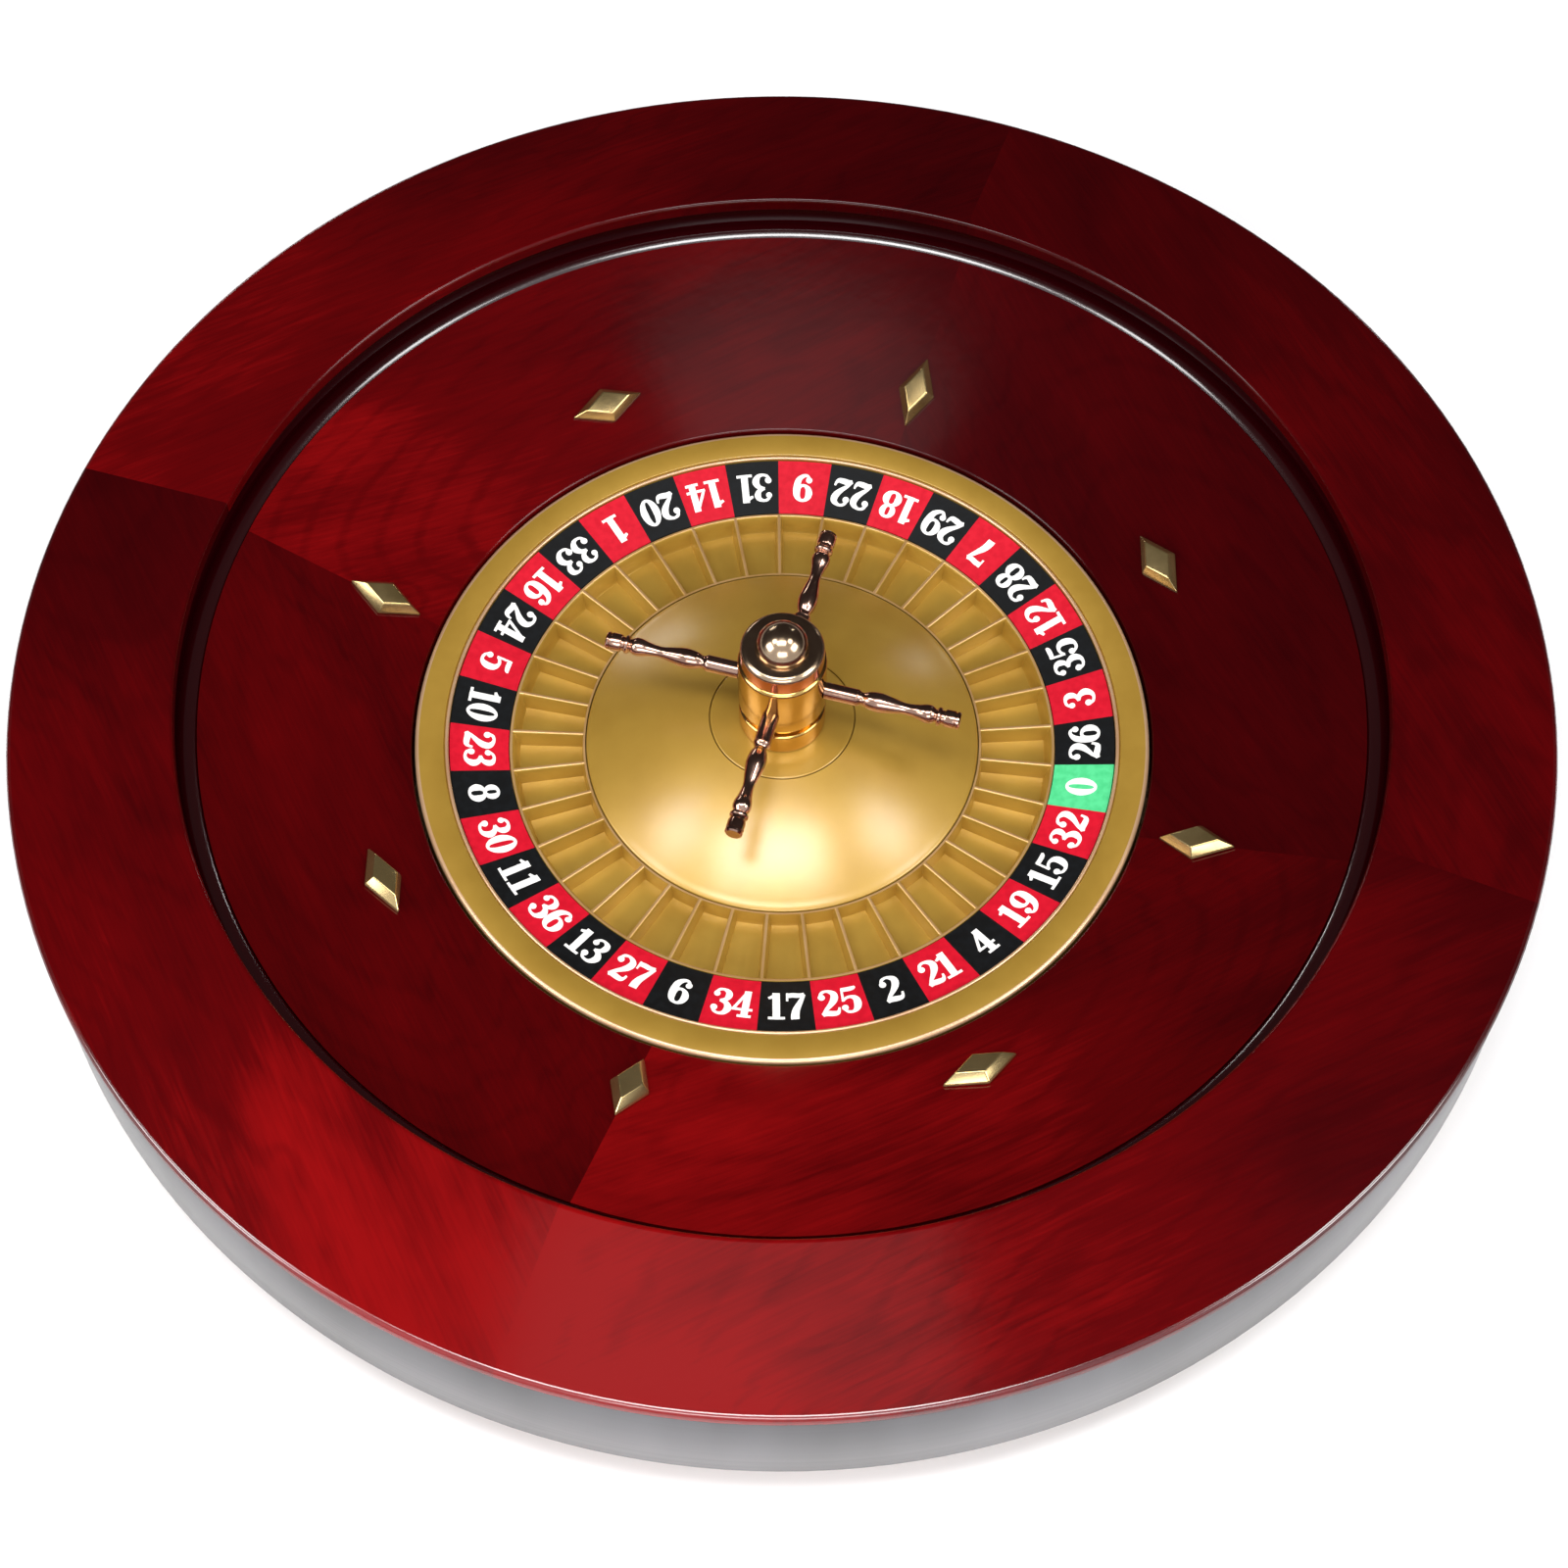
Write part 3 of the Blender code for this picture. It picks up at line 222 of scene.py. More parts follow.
# %% Brass finishes
def make_metal(name, colour, worn, roughness, spread, lathe_pitch=0.0, relief=0.0, satin=0.0, coat=0.0):
    """A metal whose colour and polish drift a little over the surface.

    Satin is the share of light that the etched metal scatters, and coat is the clear lacquer over it.
    """
    made, tree, shader = finish(
        name, Metallic=1 - satin, Specular_IOR_Level=0.2,
        Coat_Weight=coat, Coat_Roughness=0.25, Coat_IOR=1.7,
    )
    place = add(tree, "TexCoord").outputs["Object"]
    # The colour drifts over about 17 mm, and the polishing hand leaves marks of about 3 mm.
    drift = noise(tree, place, 60, detail=4)
    tint(tree, drift, shader.inputs["Base Color"], (0.3, worn), (0.65, colour))
    hand = noise(tree, place, 300, detail=3)
    vary_gloss(tree, shader, hand, roughness - spread, roughness + spread)
    if lathe_pitch:
        axis = add(tree, "Mapping", {"Vector": place, "Scale": (1, 1, 0.2)})
        # A wave texture turns 20 times for each unit of its scale.
        turning = {"Scale": 2 * pi / (20 * lathe_pitch), "Distortion": 0.4, "Detail": 1}
        rings = add(
            tree, "TexWave", {"Vector": axis.outputs[0], **turning}, wave_type="RINGS", rings_direction="Z"
        )
        relieve(tree, shader, rings.outputs["Fac"], 0.2, relief)
    return made


# Spun over a form and etched, with the spinning tool's rings 0.9 mm apart.
SATIN_BRASS = make_metal(
    "satin_spun_brass", "#B38D36", "#AA842F", 0.44, 0.05, 0.9 * MM, 0.01 * MM, satin=0.5, coat=1.0
)
# Cast in sand, so it has no rings, and the hollows hold a thinner lacquer.
POCKET_BRASS = make_metal("satin_cast_brass", "#BA963F", "#B08B37", 0.42, 0.05, satin=0.5, coat=0.5)
# The edges are smoother than the flat, and paler: the paler colour is a painted highlight for the bright
# lines on the rounding and the bead.
EDGE_HIGHLIGHT_BRASS = make_metal("painted_highlight_brass_edge", "#DDB68E", "#D2A67E", 0.34, 0.04, satin=0.4, coat=0.6)
# The frets' tops are rubbed smooth by the ball; their paler colour is a painted highlight.
FRET_HIGHLIGHT_BRASS = make_metal("painted_highlight_fret_brass", "#D3A973", "#C09458", 0.36, 0.04, satin=0.4, coat=0.5)
# Turned and buffed bright.
POLISHED_BRASS = make_metal("polished_brass", "#DDB76C", "#C29A50", 0.15, 0.04)
# Brass with more zinc, buffed, for the collar and the ball.
PALE_BRASS = make_metal("polished_pale_brass", "#C6AD90", "#A88C70", 0.18, 0.05)
# Copper colour on the collar's side, a painted reflection of the red wood in the polished brass.
WOOD_REFLECTION_COPPER = make_metal("copper_painted_wood_reflection", "#CF8464", "#A9644A", 0.16, 0.04)
# Brass with more copper, turned and buffed, for the arms.
RED_BRASS = make_metal("polished_red_brass", "#C9A492", "#A88270", 0.15, 0.04)
# Cast and polished by hand, which leaves it a little uneven.
DIAMOND_BRASS = make_metal("polished_cast_brass", "#C9B078", "#A88E58", 0.2, 0.06, satin=0.1, coat=0.4)

# %% [markdown]
# ## Brushed steel band
# The strip round the wall is thin stainless steel, brushed along its length and then bent round. The brush
# leaves long faint lines round the wheel, and the bending leaves broad soft changes of tone.


# %% The band's finish
def make_brushed_band():
    """Lines 0.6 mm apart that run round the wheel, over a slow sway of tone."""
    made, tree, shader = finish("brushed_stainless_steel", Metallic=1.0, Anisotropic=0.5)
    place = add(tree, "TexCoord").outputs["Object"]
    brush = noise(tree, place, (6, 6, 1600), detail=3)
    sway = noise(tree, place, (22, 22, 4), detail=2)
    tone = maths(tree, "MULTIPLY_ADD", brush, 0.35, sway)
    tint(tree, tone, shader.inputs["Base Color"], (0.4, "#4C4B4C"), (0.95, "#6C6B6F"))
    vary_gloss(tree, shader, brush, 0.24, 0.42)
    relieve(tree, shader, brush, 0.12, 0.02 * MM)
    return made


BAND_STEEL = make_brushed_band()

# %% [markdown]
# ## Enamel, board and rubber
# The number ring is printed in flat enamel ink, which lies slightly uneven and shines less than the
# lacquer. The board under the wheel is fibreboard: brown wood fibres pressed with resin. The feet are
# rubber, moulded in a sand-blasted mould. All three have one fine grain, so one function makes them.


# %% Finishes with one grain
def make_grained(name, texture, tones, gloss, strength, depth, **sockets):
    """A stuff whose grain drives its colour, gloss and relief. The texture is a noise's settings."""
    made, tree, shader = finish(name, **sockets)
    place = add(tree, "TexCoord").outputs["Object"]
    grain = noise(tree, place, *texture)
    tint(tree, grain, shader.inputs["Base Color"], *tones)
    vary_gloss(tree, shader, grain, *gloss)
    relieve(tree, shader, grain, strength, depth)
    return made


def make_enamel(name, colour, thin):
    """Printed ink, thin in spots about 2 mm wide."""
    return make_grained(
        name, (420, 3), ((0.35, thin), (0.6, colour)), (0.3, 0.44), 0.05, 0.02 * MM,
        IOR=1.48, Specular_IOR_Level=0.35,
    )


ENAMEL = {
    "red": make_enamel("red_enamel_ink", "#C41027", "#B80D23"),
    "black": make_enamel("black_enamel_ink", "#0A0B0C", "#121416"),
    "green": make_enamel("green_enamel_ink", "#53C987", "#46BD7A"),
    "white": make_enamel("white_enamel_ink", "#F4F3F0", "#E9E8E4"),
}
# The fibres are a few tenths of a millimetre thick. They are drawn at 1 mm, so that they show.
BOARD = make_grained(
    "pressed_fibreboard", (900, 3, 0.7),
    ((0.3, "#6E4F33"), (0.7, "#9A7650")), (0.6, 0.8), 0.2, 0.1 * MM, IOR=1.5,
)
# The mould's grit, less than 1 mm from crest to crest.
RUBBER = make_grained(
    "moulded_black_rubber", (1500, 2),
    ((0.3, "#121212"), (0.7, "#1E1E1F")), (0.6, 0.82), 0.25, 0.05 * MM, IOR=1.52,
)
print("ink colours:", sorted(ENAMEL))

# %% [markdown]
# ## Finishes of the hidden parts
# Bearings, screws and the rotor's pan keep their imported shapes, and only get a better material. Bearing
# rings are ground steel, cages are pressed brass, screws are zinc-plated, and the pan is turned aluminium.

# %% Machined metals, and who gets which finish
BEARING_STEEL = make_metal("ground_bearing_steel", "#C4C5C9", "#A9ABB0", 0.18, 0.05)
ZINC_STEEL = make_metal("zinc_plated_steel", "#B4B8BE", "#979BA1", 0.32, 0.08)
ALUMINIUM = make_metal("turned_aluminium", "#C6C8CA", "#AFB1B4", 0.3, 0.06, 0.8 * MM, 0.03 * MM)
CAGE_BRASS = make_metal("pressed_cage_brass", "#C9A04E", "#AF863A", 0.28, 0.06)

CARRIED_OVER = {
    "lacquered_wood": VENEER,
    "plain_board": BOARD,
    "brushed_band": BAND_STEEL,
    "turned_aluminium": ALUMINIUM,
    "bearing_steel": BEARING_STEEL,
    "cage_brass": CAGE_BRASS,
    "zinc_steel": ZINC_STEEL,
    "polished_brass": POLISHED_BRASS,
    "satin_brass": SATIN_BRASS,
    "printed_enamel": ENAMEL["black"],
    "rubber_foot": RUBBER,
}
for name, node in frame["nodes"].items():
    for material_slot in node.material_slots:
        base = material_slot.material.name.split(".")[0] if material_slot.material else "plain_board"
        if base not in CARRIED_OVER:
            print("no finish for", name, base)
        material_slot.material = CARRIED_OVER.get(base, BOARD)
print("carried-over nodes given a finish:", len(frame["nodes"]))

# %% [markdown]
# ## Turning on a lathe
# Nearly every part of a roulette wheel is turned, so one function does a lathe's work: it carries a profile
# of (radius, height) points round the upright axis. Building the faces directly, and not with a Screw
# modifier, tells which step of the turn each face belongs to, as the veneer and the printed fields need.


# %% The lathe
BOWL_STEPS = 192
ROTOR_STEPS = 37 * 6
SMALL_STEPS = 64
SHARP = radians(32)
WELD = 1e-7


def arc(centre, radius, start, end, steps=8):
    """(radius, height) points on an arc, its angles in degrees from straight outwards."""
    turns = [radians(start + (end - start) * i / steps) for i in range(steps + 1)]
    return [(centre[0] + radius * cos(a), centre[1] + radius * sin(a)) for a in turns]


def placed(name, data):
    """A new object in the scene."""
    thing = bpy.data.objects.new(name, data)
    bpy.context.scene.collection.objects.link(thing)
    return thing


def finished(name, mesh, body, slot, nodes, *materials):
    """Makes the mesh a piece: smooth-shaded, with its finishes, riding on its body."""
    mesh.shade_smooth()
    mesh.set_sharp_from_angle(angle=SHARP)
    for material in materials:
        mesh.materials.append(material)
    piece = placed(name, mesh)
    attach(piece, body)
    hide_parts(*nodes)
    print(f"{name}: {len(mesh.polygons)} faces")


def face_outwards(mesh):
    """Turns the faces of a closed mesh outwards."""
    shape = bmesh.new()
    shape.from_mesh(mesh)
    bmesh.ops.recalc_face_normals(shape, faces=shape.faces)
    shape.to_mesh(mesh)
    shape.free()


def turned_mesh(name, profile, steps, first=0.0, closed=True):
    """Turns points in millimetres, listed down the outside and up the inside.

    An open profile ends on the axis, where its points are welded.
    """
    points, faces = [], []
    count = len(profile)
    spans = count if closed else count - 1
    for i in range(steps):
        angle = radians(first) + 2 * pi * i / steps
        points += [(r * MM * cos(angle), r * MM * sin(angle), z * MM) for r, z in profile]
    for i in range(steps):
        here, there = i * count, (i + 1) % steps * count
        for j in range(spans):
            k = (j + 1) % count
            faces.append((here + j, here + k, there + k, there + j))
    mesh = bpy.data.meshes.new(name)
    mesh.from_pydata(points, [], faces)
    if not closed:
        shape = bmesh.new()
        shape.from_mesh(mesh)
        bmesh.ops.remove_doubles(shape, verts=shape.verts, dist=WELD)
        shape.to_mesh(mesh)
        shape.free()
    return mesh


# %% [markdown]
# ## Four sheets of veneer
# The veneer is laid like a picture frame: four sheets meet on mitred seams, and in each one the grain runs
# square to the sheet's middle line. Every face corner stores where it lies on its own sheet, as the
# distances along the grain, across it and down. Neighbouring sheets come from different places in the log,
# and stained veneer looks lighter from one end than from the other, so each sheet also has its own tone.


# %% Lay the sheets
# For each sheet, its tone and how fast that changes along the grain, per metre.
FIRST_SEAM = 70.75
RIM_TONES = ((-0.05, 1.7), (0.08, 1.9), (0.17, -2.3), (-0.16, -0.4))
APRON_TONES = ((0.0, 1.6), (-0.04, 0.4), (0.12, -1.8), (-0.24, 0.0))
# The track ring's sheets all take a much lower tone: painted shade for the hollow under the lip, which
# darkens the bead as well.
TRACK_SHADE_TONES = ((-0.75, 0.0),) * 4
# Where each sheet was cut: steps along the log, and metres across it. A step along is 0.13 m.
LEAF_SHIFTS = ((0.0, -0.15), (0.9, -0.19), (1.9, -0.16), (2.7, -0.2))
LOG_STEP = 0.13


def lay_veneer(mesh, leaf_tones, shift):
    """Stores the place on the sheet, and the sheet's tone, on each face corner."""
    places, tones = [], []
    for face in mesh.polygons:
        turn = degrees(atan2(face.center.y, face.center.x)) - FIRST_SEAM
        leaf = floor(turn % 360 / 90)
        middle = radians(FIRST_SEAM + 90 * leaf + 45)
        along_shift, across_shift = LEAF_SHIFTS[leaf]
        tone, drift = leaf_tones[leaf]
        for corner in face.loop_indices:
            spot = mesh.vertices[mesh.loops[corner].vertex_index].co
            along = spot.y * cos(middle) - spot.x * sin(middle)
            across = spot.x * cos(middle) + spot.y * sin(middle)
            places += [along + (along_shift + shift) * LOG_STEP, across + across_shift, spot.z]
            tones.append(tone + drift * along)
    mesh.attributes.new("sheet", "FLOAT_VECTOR", "CORNER").data.foreach_set("vector", places)
    mesh.attributes.new("leaf_tone", "FLOAT", "CORNER").data.foreach_set("value", tones)
    return mesh


def veneered(name, node, profile, tones, shift, *materials):
    """A turned wooden ring of the bowl, with its veneer laid."""
    mesh = lay_veneer(turned_mesh(name, profile, BOWL_STEPS, FIRST_SEAM), tones, shift)
    finished(name, mesh, "bowl", "lacquered_wood", [node], *materials)
    return mesh


# %% [markdown]
# ## The bowl's wall
# Under the rim, a wall of glued and turned boards carries everything. Its outside is behind the band and
# its inside is behind the track, but its lower edge shows from the side, stained and lacquered like the
# rest. The recess for the board and the shelf for the apron are turned in it.

# %% Turn the wall
WALL_OUTER = 248.3
WALL_TOP = 50.4
wall_profile = [
    (WALL_OUTER, WALL_TOP),
    *arc((WALL_OUTER - 0.8, 23.3), 0.8, 0, -90, 4),
    (242.0, 22.5),
    (242.0, 17.3),
    (225.3, 17.3),
    (225.3, 35.6),
    (179.38, 35.6),
    (179.38, 47.3),
    (190.68, WALL_TOP),
]
veneered("turned_wall", "bowl_wall", wall_profile, RIM_TONES, 0.0, VENEER)

# %% [markdown]
# ## The rim
# The rim is the wide flat ring that players lean on. It rises a little to a lip, which hangs over the ball
# track. Its outer edge is rounded over so that the lacquer holds. The lacquer gathers there, and the
# rounding catches a thin light.

# %% Turn the rim
WHEEL_RADIUS = 250
RIM_EDGE = 70
LIP_RADIUS = 196.2
LIP_TOP = 74.6
RIM_ROUNDING = 1.6
LIP_ROUNDING = 1.3
# A ring of points close to each rounding keeps the flat top's shading flat.
RING_GAP = 0.6
RING_RISE = 0.054
ROUNDING_FACES = 5
rim_profile = [
    (WHEEL_RADIUS - RIM_ROUNDING - RING_GAP, RIM_EDGE + RING_RISE),
    *arc((WHEEL_RADIUS - RIM_ROUNDING, RIM_EDGE - RIM_ROUNDING), RIM_ROUNDING, 90, 0),
    *arc((WHEEL_RADIUS - 0.8, 65.8), 0.8, 0, -90, 4),
    (LIP_RADIUS, 69.6),
    *arc((LIP_RADIUS + LIP_ROUNDING, LIP_TOP - LIP_ROUNDING), LIP_ROUNDING, 180, 85, 6),
    (LIP_RADIUS + LIP_ROUNDING + RING_GAP, LIP_TOP - RING_RISE),
]
rim_mesh = veneered("rim_veneer", "rim_ring", rim_profile, RIM_TONES, 0.0, VENEER, EDGE_WOOD)
for i, face in enumerate(rim_mesh.polygons):
    # After the first face of each turn come those of the outer rounding.
    face.material_index = int(1 <= i % len(rim_profile) <= ROUNDING_FACES)

# %% [markdown]
# ## The ball track and its bead
# Under the lip a hollow cove carries the ball while it circles, and a small bead marks where the slope
# starts. Both are turned in one ring. The cove needs many short steps, or its gloss would show corners.

# %% Turn the track
COVE = (192.5, 66.6)
COVE_RADIUS = 8
BEAD = (194.6, 56.0)
BEAD_RADIUS = 6
track_profile = [
    (248.3, 64.8),
    (248.3, 50.7),
    (190.68, 50.7),
    *arc(BEAD, BEAD_RADIUS, 130.8, 60, 12),
    *arc(COVE, COVE_RADIUS, -42, 17, 14),
]
track_finishes = (TRACK_WOOD, EDGE_WOOD)
track_mesh = veneered("ball_track", "ball_track_ring", track_profile, TRACK_SHADE_TONES, 0.4, *track_finishes)
bead_limit = (BEAD[0] + BEAD_RADIUS / 2) * MM
for face in track_mesh.polygons:
    # The bead keeps its gloss.
    face.material_index = int(face.center.xy.length < bead_limit)

# %% [markdown]
# ## The apron
# The apron is the shallow funnel that the ball rolls down. It is veneered in the same four sheets as the
# rim, cut from further along the log, so that its figure doesn't run on from the rim's.

# %% Turn the apron
APRON_INNER = 123.3
APRON_OUTER = 190.38
ROTOR_TOP = 37.0
APRON_RISE = 24.12
APRON_THICKNESS = 9
APRON_EDGE = 1.2
slope = atan2(APRON_RISE, APRON_OUTER - APRON_INNER)


def apron_top(radius):
    """Height of the slope at a radius."""
    return ROTOR_TOP + (radius - APRON_INNER) * sin(slope) / cos(slope)


apron_depth = APRON_THICKNESS / cos(slope)
apron_run = APRON_OUTER - APRON_INNER - APRON_EDGE
radii = [APRON_OUTER - apron_run * i / 8 for i in range(9)]
apron_profile = [
    (APRON_OUTER, apron_top(APRON_OUTER) - apron_depth),
    (APRON_INNER, ROTOR_TOP - apron_depth),
    *arc((APRON_INNER + 0.8, apron_top(APRON_INNER + 0.8) - 0.85), 0.8, 180, 110, 5),
    (APRON_INNER + 1.0, apron_top(APRON_INNER + 1.0)),
    *[(r, apron_top(r)) for r in reversed(radii[:-1])],
]
veneered("apron_veneer", "apron", apron_profile, APRON_TONES, 0.8, VENEER)
print("apron slope, degrees:", round(degrees(slope), 2))

# %% [markdown]
# ## The steel band
# The band wraps the wall below the rim, and is tucked under the rim's small overhang. A real strip has its
# edges turned in, so its profile here has a small rounding at both ends.

# %% Bend the band
BAND_OUTER = 249.6
BAND_ROLL = 0.4
band_profile = [
    *arc((BAND_OUTER - BAND_ROLL, 64.2), BAND_ROLL, 90, 0, 3),
    *arc((BAND_OUTER - BAND_ROLL, 22.9), BAND_ROLL, 0, -90, 3),
    (BAND_OUTER - 1, 22.5),
    (BAND_OUTER - 1, 64.6),
]
band_mesh = turned_mesh("steel_band", band_profile, BOWL_STEPS)
finished("steel_band", band_mesh, "bowl", "brushed_band", ["side_band"], BAND_STEEL)

# %% [markdown]
# ## The diamond deflectors
# Eight cast brass diamonds stand on the apron, along the slope and across it in turn, and scatter the ball.
# Each has a low upright edge, bevelled sides and a flat top. Rounding all the edges with bmesh's bevel
# gives the bright lines that a cast and polished piece has.

# %% Cast the diamonds
DIAMOND_LENGTH = 26
DIAMOND_WIDTH = 13
DIAMOND_HEIGHT = 3.8
DIAMOND_EDGE = 0.7
DIAMOND_TOP = 0.64
DIAMOND_BEVEL = 0.45
DIAMOND_CIRCLE = 142.5
DIAMOND_FIRST = 25.75
# The slope curves up beside a diamond's tips, so its foot is lifted clear of the wood there.
FOOT_GAP = 0.3
tip_circle = hypot(DIAMOND_CIRCLE, DIAMOND_LENGTH / 2)
diamond_foot = FOOT_GAP + (tip_circle - DIAMOND_CIRCLE) * sin(slope)


def slope_frame(angle, circle):
    """A frame on the apron, its X outwards along the slope and its Z square to it."""
    spot = Vector((circle * cos(angle), circle * sin(angle), apron_top(circle))) * MM
    return Matrix.Translation(spot) @ Matrix.Rotation(angle, 4, "Z") @ Matrix.Rotation(-slope, 4, "Y")


def diamond_mesh(name):
    """Three diamond outlines, one over another, joined and rounded."""
    shape = bmesh.new()
    layers = []
    for share, height in ((1, 0), (1, DIAMOND_EDGE), (DIAMOND_TOP, DIAMOND_HEIGHT)):
        half = (DIAMOND_LENGTH / 2 * share, DIAMOND_WIDTH / 2 * share)
        corners = ((half[0], 0), (0, half[1]), (-half[0], 0), (0, -half[1]))
        layers.append([shape.verts.new(Vector((x, y, diamond_foot + height)) * MM) for x, y in corners])
    for low, high in zip(layers, layers[1:]):
        for i in range(4):
            k = (i + 1) % 4
            shape.faces.new((low[i], low[k], high[k], high[i]))
    shape.faces.new(reversed(layers[0]))
    shape.faces.new(layers[-1])
    upper = [e for e in shape.edges if max(v.co.z for v in e.verts) > (diamond_foot + 0.1) * MM]
    bmesh.ops.bevel(shape, geom=upper, offset=DIAMOND_BEVEL * MM, segments=3, profile=0.6, affect="EDGES")
    mesh = bpy.data.meshes.new(name)
    shape.to_mesh(mesh)
    shape.free()
    return mesh


for i in range(8):
    name = f"diamond_{i + 1}"
    angle = radians(DIAMOND_FIRST + 45 * i)
    across = Matrix.Rotation(pi / 2, 4, "Z") if i % 2 == 0 else Matrix.Identity(4)
    mesh = diamond_mesh(name)
    mesh.transform(slope_frame(angle, DIAMOND_CIRCLE) @ across)
    finished(name, mesh, "bowl", "polished_brass", [f"deflector_{i + 1}"], DIAMOND_BRASS)

# %% [markdown]
# ## The rotor's rim
# The rotor's outer ring is spun brass: a flat top, a rounded outer edge, and a fine bead where the number
# ring starts. The groove beside the bead is what draws the dark line there.

# %% Spin the rotor's rim
ROTOR_RADIUS = 122.3
RIM_INNER = 111.1
ROTOR_SEAT = 22.8
ROTOR_ROUNDING = 1.4
EDGE_FACES = 8
BEAD_FACES = range(11, 19)
rotor_rim_profile = [
    *arc((ROTOR_RADIUS - ROTOR_ROUNDING, ROTOR_TOP - ROTOR_ROUNDING), ROTOR_ROUNDING, 90, 0),
    (ROTOR_RADIUS, ROTOR_SEAT),
    (RIM_INNER, ROTOR_SEAT),
    (RIM_INNER, 36.3),
    *arc((RIM_INNER + 0.6, 36.3), 0.6, 180, 0, 8),
    (RIM_INNER + 1.35, 36.2),
    (RIM_INNER + 1.6, 36.9),
    (RIM_INNER + 1.8, ROTOR_TOP),
]
rotor_rim_mesh = turned_mesh("rotor_edge", rotor_rim_profile, ROTOR_STEPS)
finished("rotor_edge", rotor_rim_mesh, "rotor", "satin_brass", ["rotor_rim"], SATIN_BRASS, EDGE_HIGHLIGHT_BRASS)
# The outer rounding and the bead take the paler brass, a painted highlight.
for i, face in enumerate(rotor_rim_mesh.polygons):
    place = i % len(rotor_rim_profile)
    face.material_index = int(place < EDGE_FACES or place in BEAD_FACES)

# %% [markdown]
# ## The number ring
# Thirty-seven fields, printed red and black in turn with one green, follow the order of a single-zero
# wheel. The ring is turned with six steps to a field, so printed edges lie on real edges of the mesh.

# %% Print the fields
POCKETS = 37
FIELD = 360 / POCKETS
ZERO_ANGLE = -11.3
NUMBERS = (0, 32, 15, 19, 4, 21, 2, 25, 17, 34, 6, 27, 13, 36, 11, 30, 8, 23, 10,
           5, 24, 16, 33, 1, 20, 14, 31, 9, 22, 18, 29, 7, 28, 12, 35, 3, 26)
NUMBERS_INNER = 91.4
NUMBERS_OUTER = 110.8
NUMBERS_LOW = 31.7
NUMBERS_HIGH = 35.8
NUMBERS_THICKNESS = 1.5
STEPS_PER_FIELD = ROTOR_STEPS // POCKETS
ring_profile = [
    (NUMBERS_OUTER, NUMBERS_HIGH),
    (NUMBERS_OUTER, NUMBERS_HIGH - NUMBERS_THICKNESS),
    (NUMBERS_INNER, NUMBERS_LOW - NUMBERS_THICKNESS),
    (NUMBERS_INNER, NUMBERS_LOW),
]
ring_first = ZERO_ANGLE + FIELD / 2
ring_mesh = turned_mesh("number_fields", ring_profile, ROTOR_STEPS, ring_first)
finished(
    "number_fields", ring_mesh, "rotor", "printed_enamel", ["number_ring"],
    ENAMEL["red"], ENAMEL["black"], ENAMEL["green"],
)
for i, face in enumerate(ring_mesh.polygons):
    # Counting backwards from the zero, because the order runs clockwise.
    step = -(i // len(ring_profile) // STEPS_PER_FIELD + 1) % POCKETS
    face.material_index = 2 if step == 0 else (step + 1) % 2

# %% [markdown]
# ## The figures
# The figures are bold with flat serifs, round ball ends, thick uprights and thin joins. Each one is made of
# a few pen strokes whose width changes along the way, joined by a Boolean into one flat solid. That keeps
# the thick-and-thin rhythm which a plain built-in font hasn't got.

# %% Pen strokes
INK = 0.12
FIGURE_HEIGHT = 10.4


def smooth(points, closed, cuts=4):
    """A smooth line (x, y, half width) through the points."""
    made, count = [], len(points)
    for i in range(count if closed else count - 1):
        places = [(i + k) % count if closed else min(max(i + k, 0), count - 1) for k in (-1, 0, 1, 2)]
        near = [Vector(points[place]) for place in places]
        for c in range(cuts):
            t = c / cuts
            a = 2 * near[1]
            b = near[2] - near[0]
            d = 2 * near[0] - 5 * near[1] + 4 * near[2] - near[3]
            e = 3 * near[1] - near[0] - 3 * near[2] + near[3]
            made.append((a + b * t + d * t * t + e * t ** 3) / 2)
    if not closed:
        made.append(Vector(points[-1]))
    return made


def solid_strip(left, right, closed):
    """A thin solid between two lines of (x, y) points."""
    count = len(left)
    points = [(*p, z) for z in (-INK / 2, INK / 2) for side in (left, right) for p in side]
    a, b, c, d = 0, count, 2 * count, 3 * count
    faces = []
    for i in range(count if closed else count - 1):
        k = (i + 1) % count
        faces += [(a + i, b + i, b + k, a + k), (c + i, c + k, d + k, d + i)]
        faces += [(a + i, a + k, c + k, c + i), (b + i, d + i, d + k, b + k)]
    if not closed:
        last = count - 1
        faces += [(a, c, d, b), (a + last, b + last, d + last, c + last)]
    mesh = bpy.data.meshes.new("stroke")
    mesh.from_pydata(points, [], faces)
    face_outwards(mesh)
    return mesh


def pen(points, closed=False):
    """A stroke through (x, y, half width) points."""
    line = smooth(points, closed)
    left, right = [], []
    count = len(line)
    for i, here in enumerate(line):
        if closed:
            before, after = line[i - 1], line[(i + 1) % count]
        else:
            before, after = line[max(i - 1, 0)], line[min(i + 1, count - 1)]
        way = (after - before).xy.normalized()
        side = Vector((-way.y, way.x)) * here.z
        left.append(here.xy + side)
        right.append(here.xy - side)
    return solid_strip(left, right, closed)


def bar(left, bottom, right, top):
    """A straight serif, stem or crossbar."""
    upper = [Vector((left, top)), Vector((right, top))]
    lower = [Vector((left, bottom)), Vector((right, bottom))]
    return solid_strip(upper, lower, False)


def oval(x, y, wide, tall, side, top):
    """A closed stroke, thick at its sides and thin at its top."""
    line = []
    for turn in [2 * pi * i / 10 for i in range(10)]:
        line.append((x + wide * cos(turn), y + tall * sin(turn), top + (side - top) * cos(turn) ** 2))
    return pen(line, True)


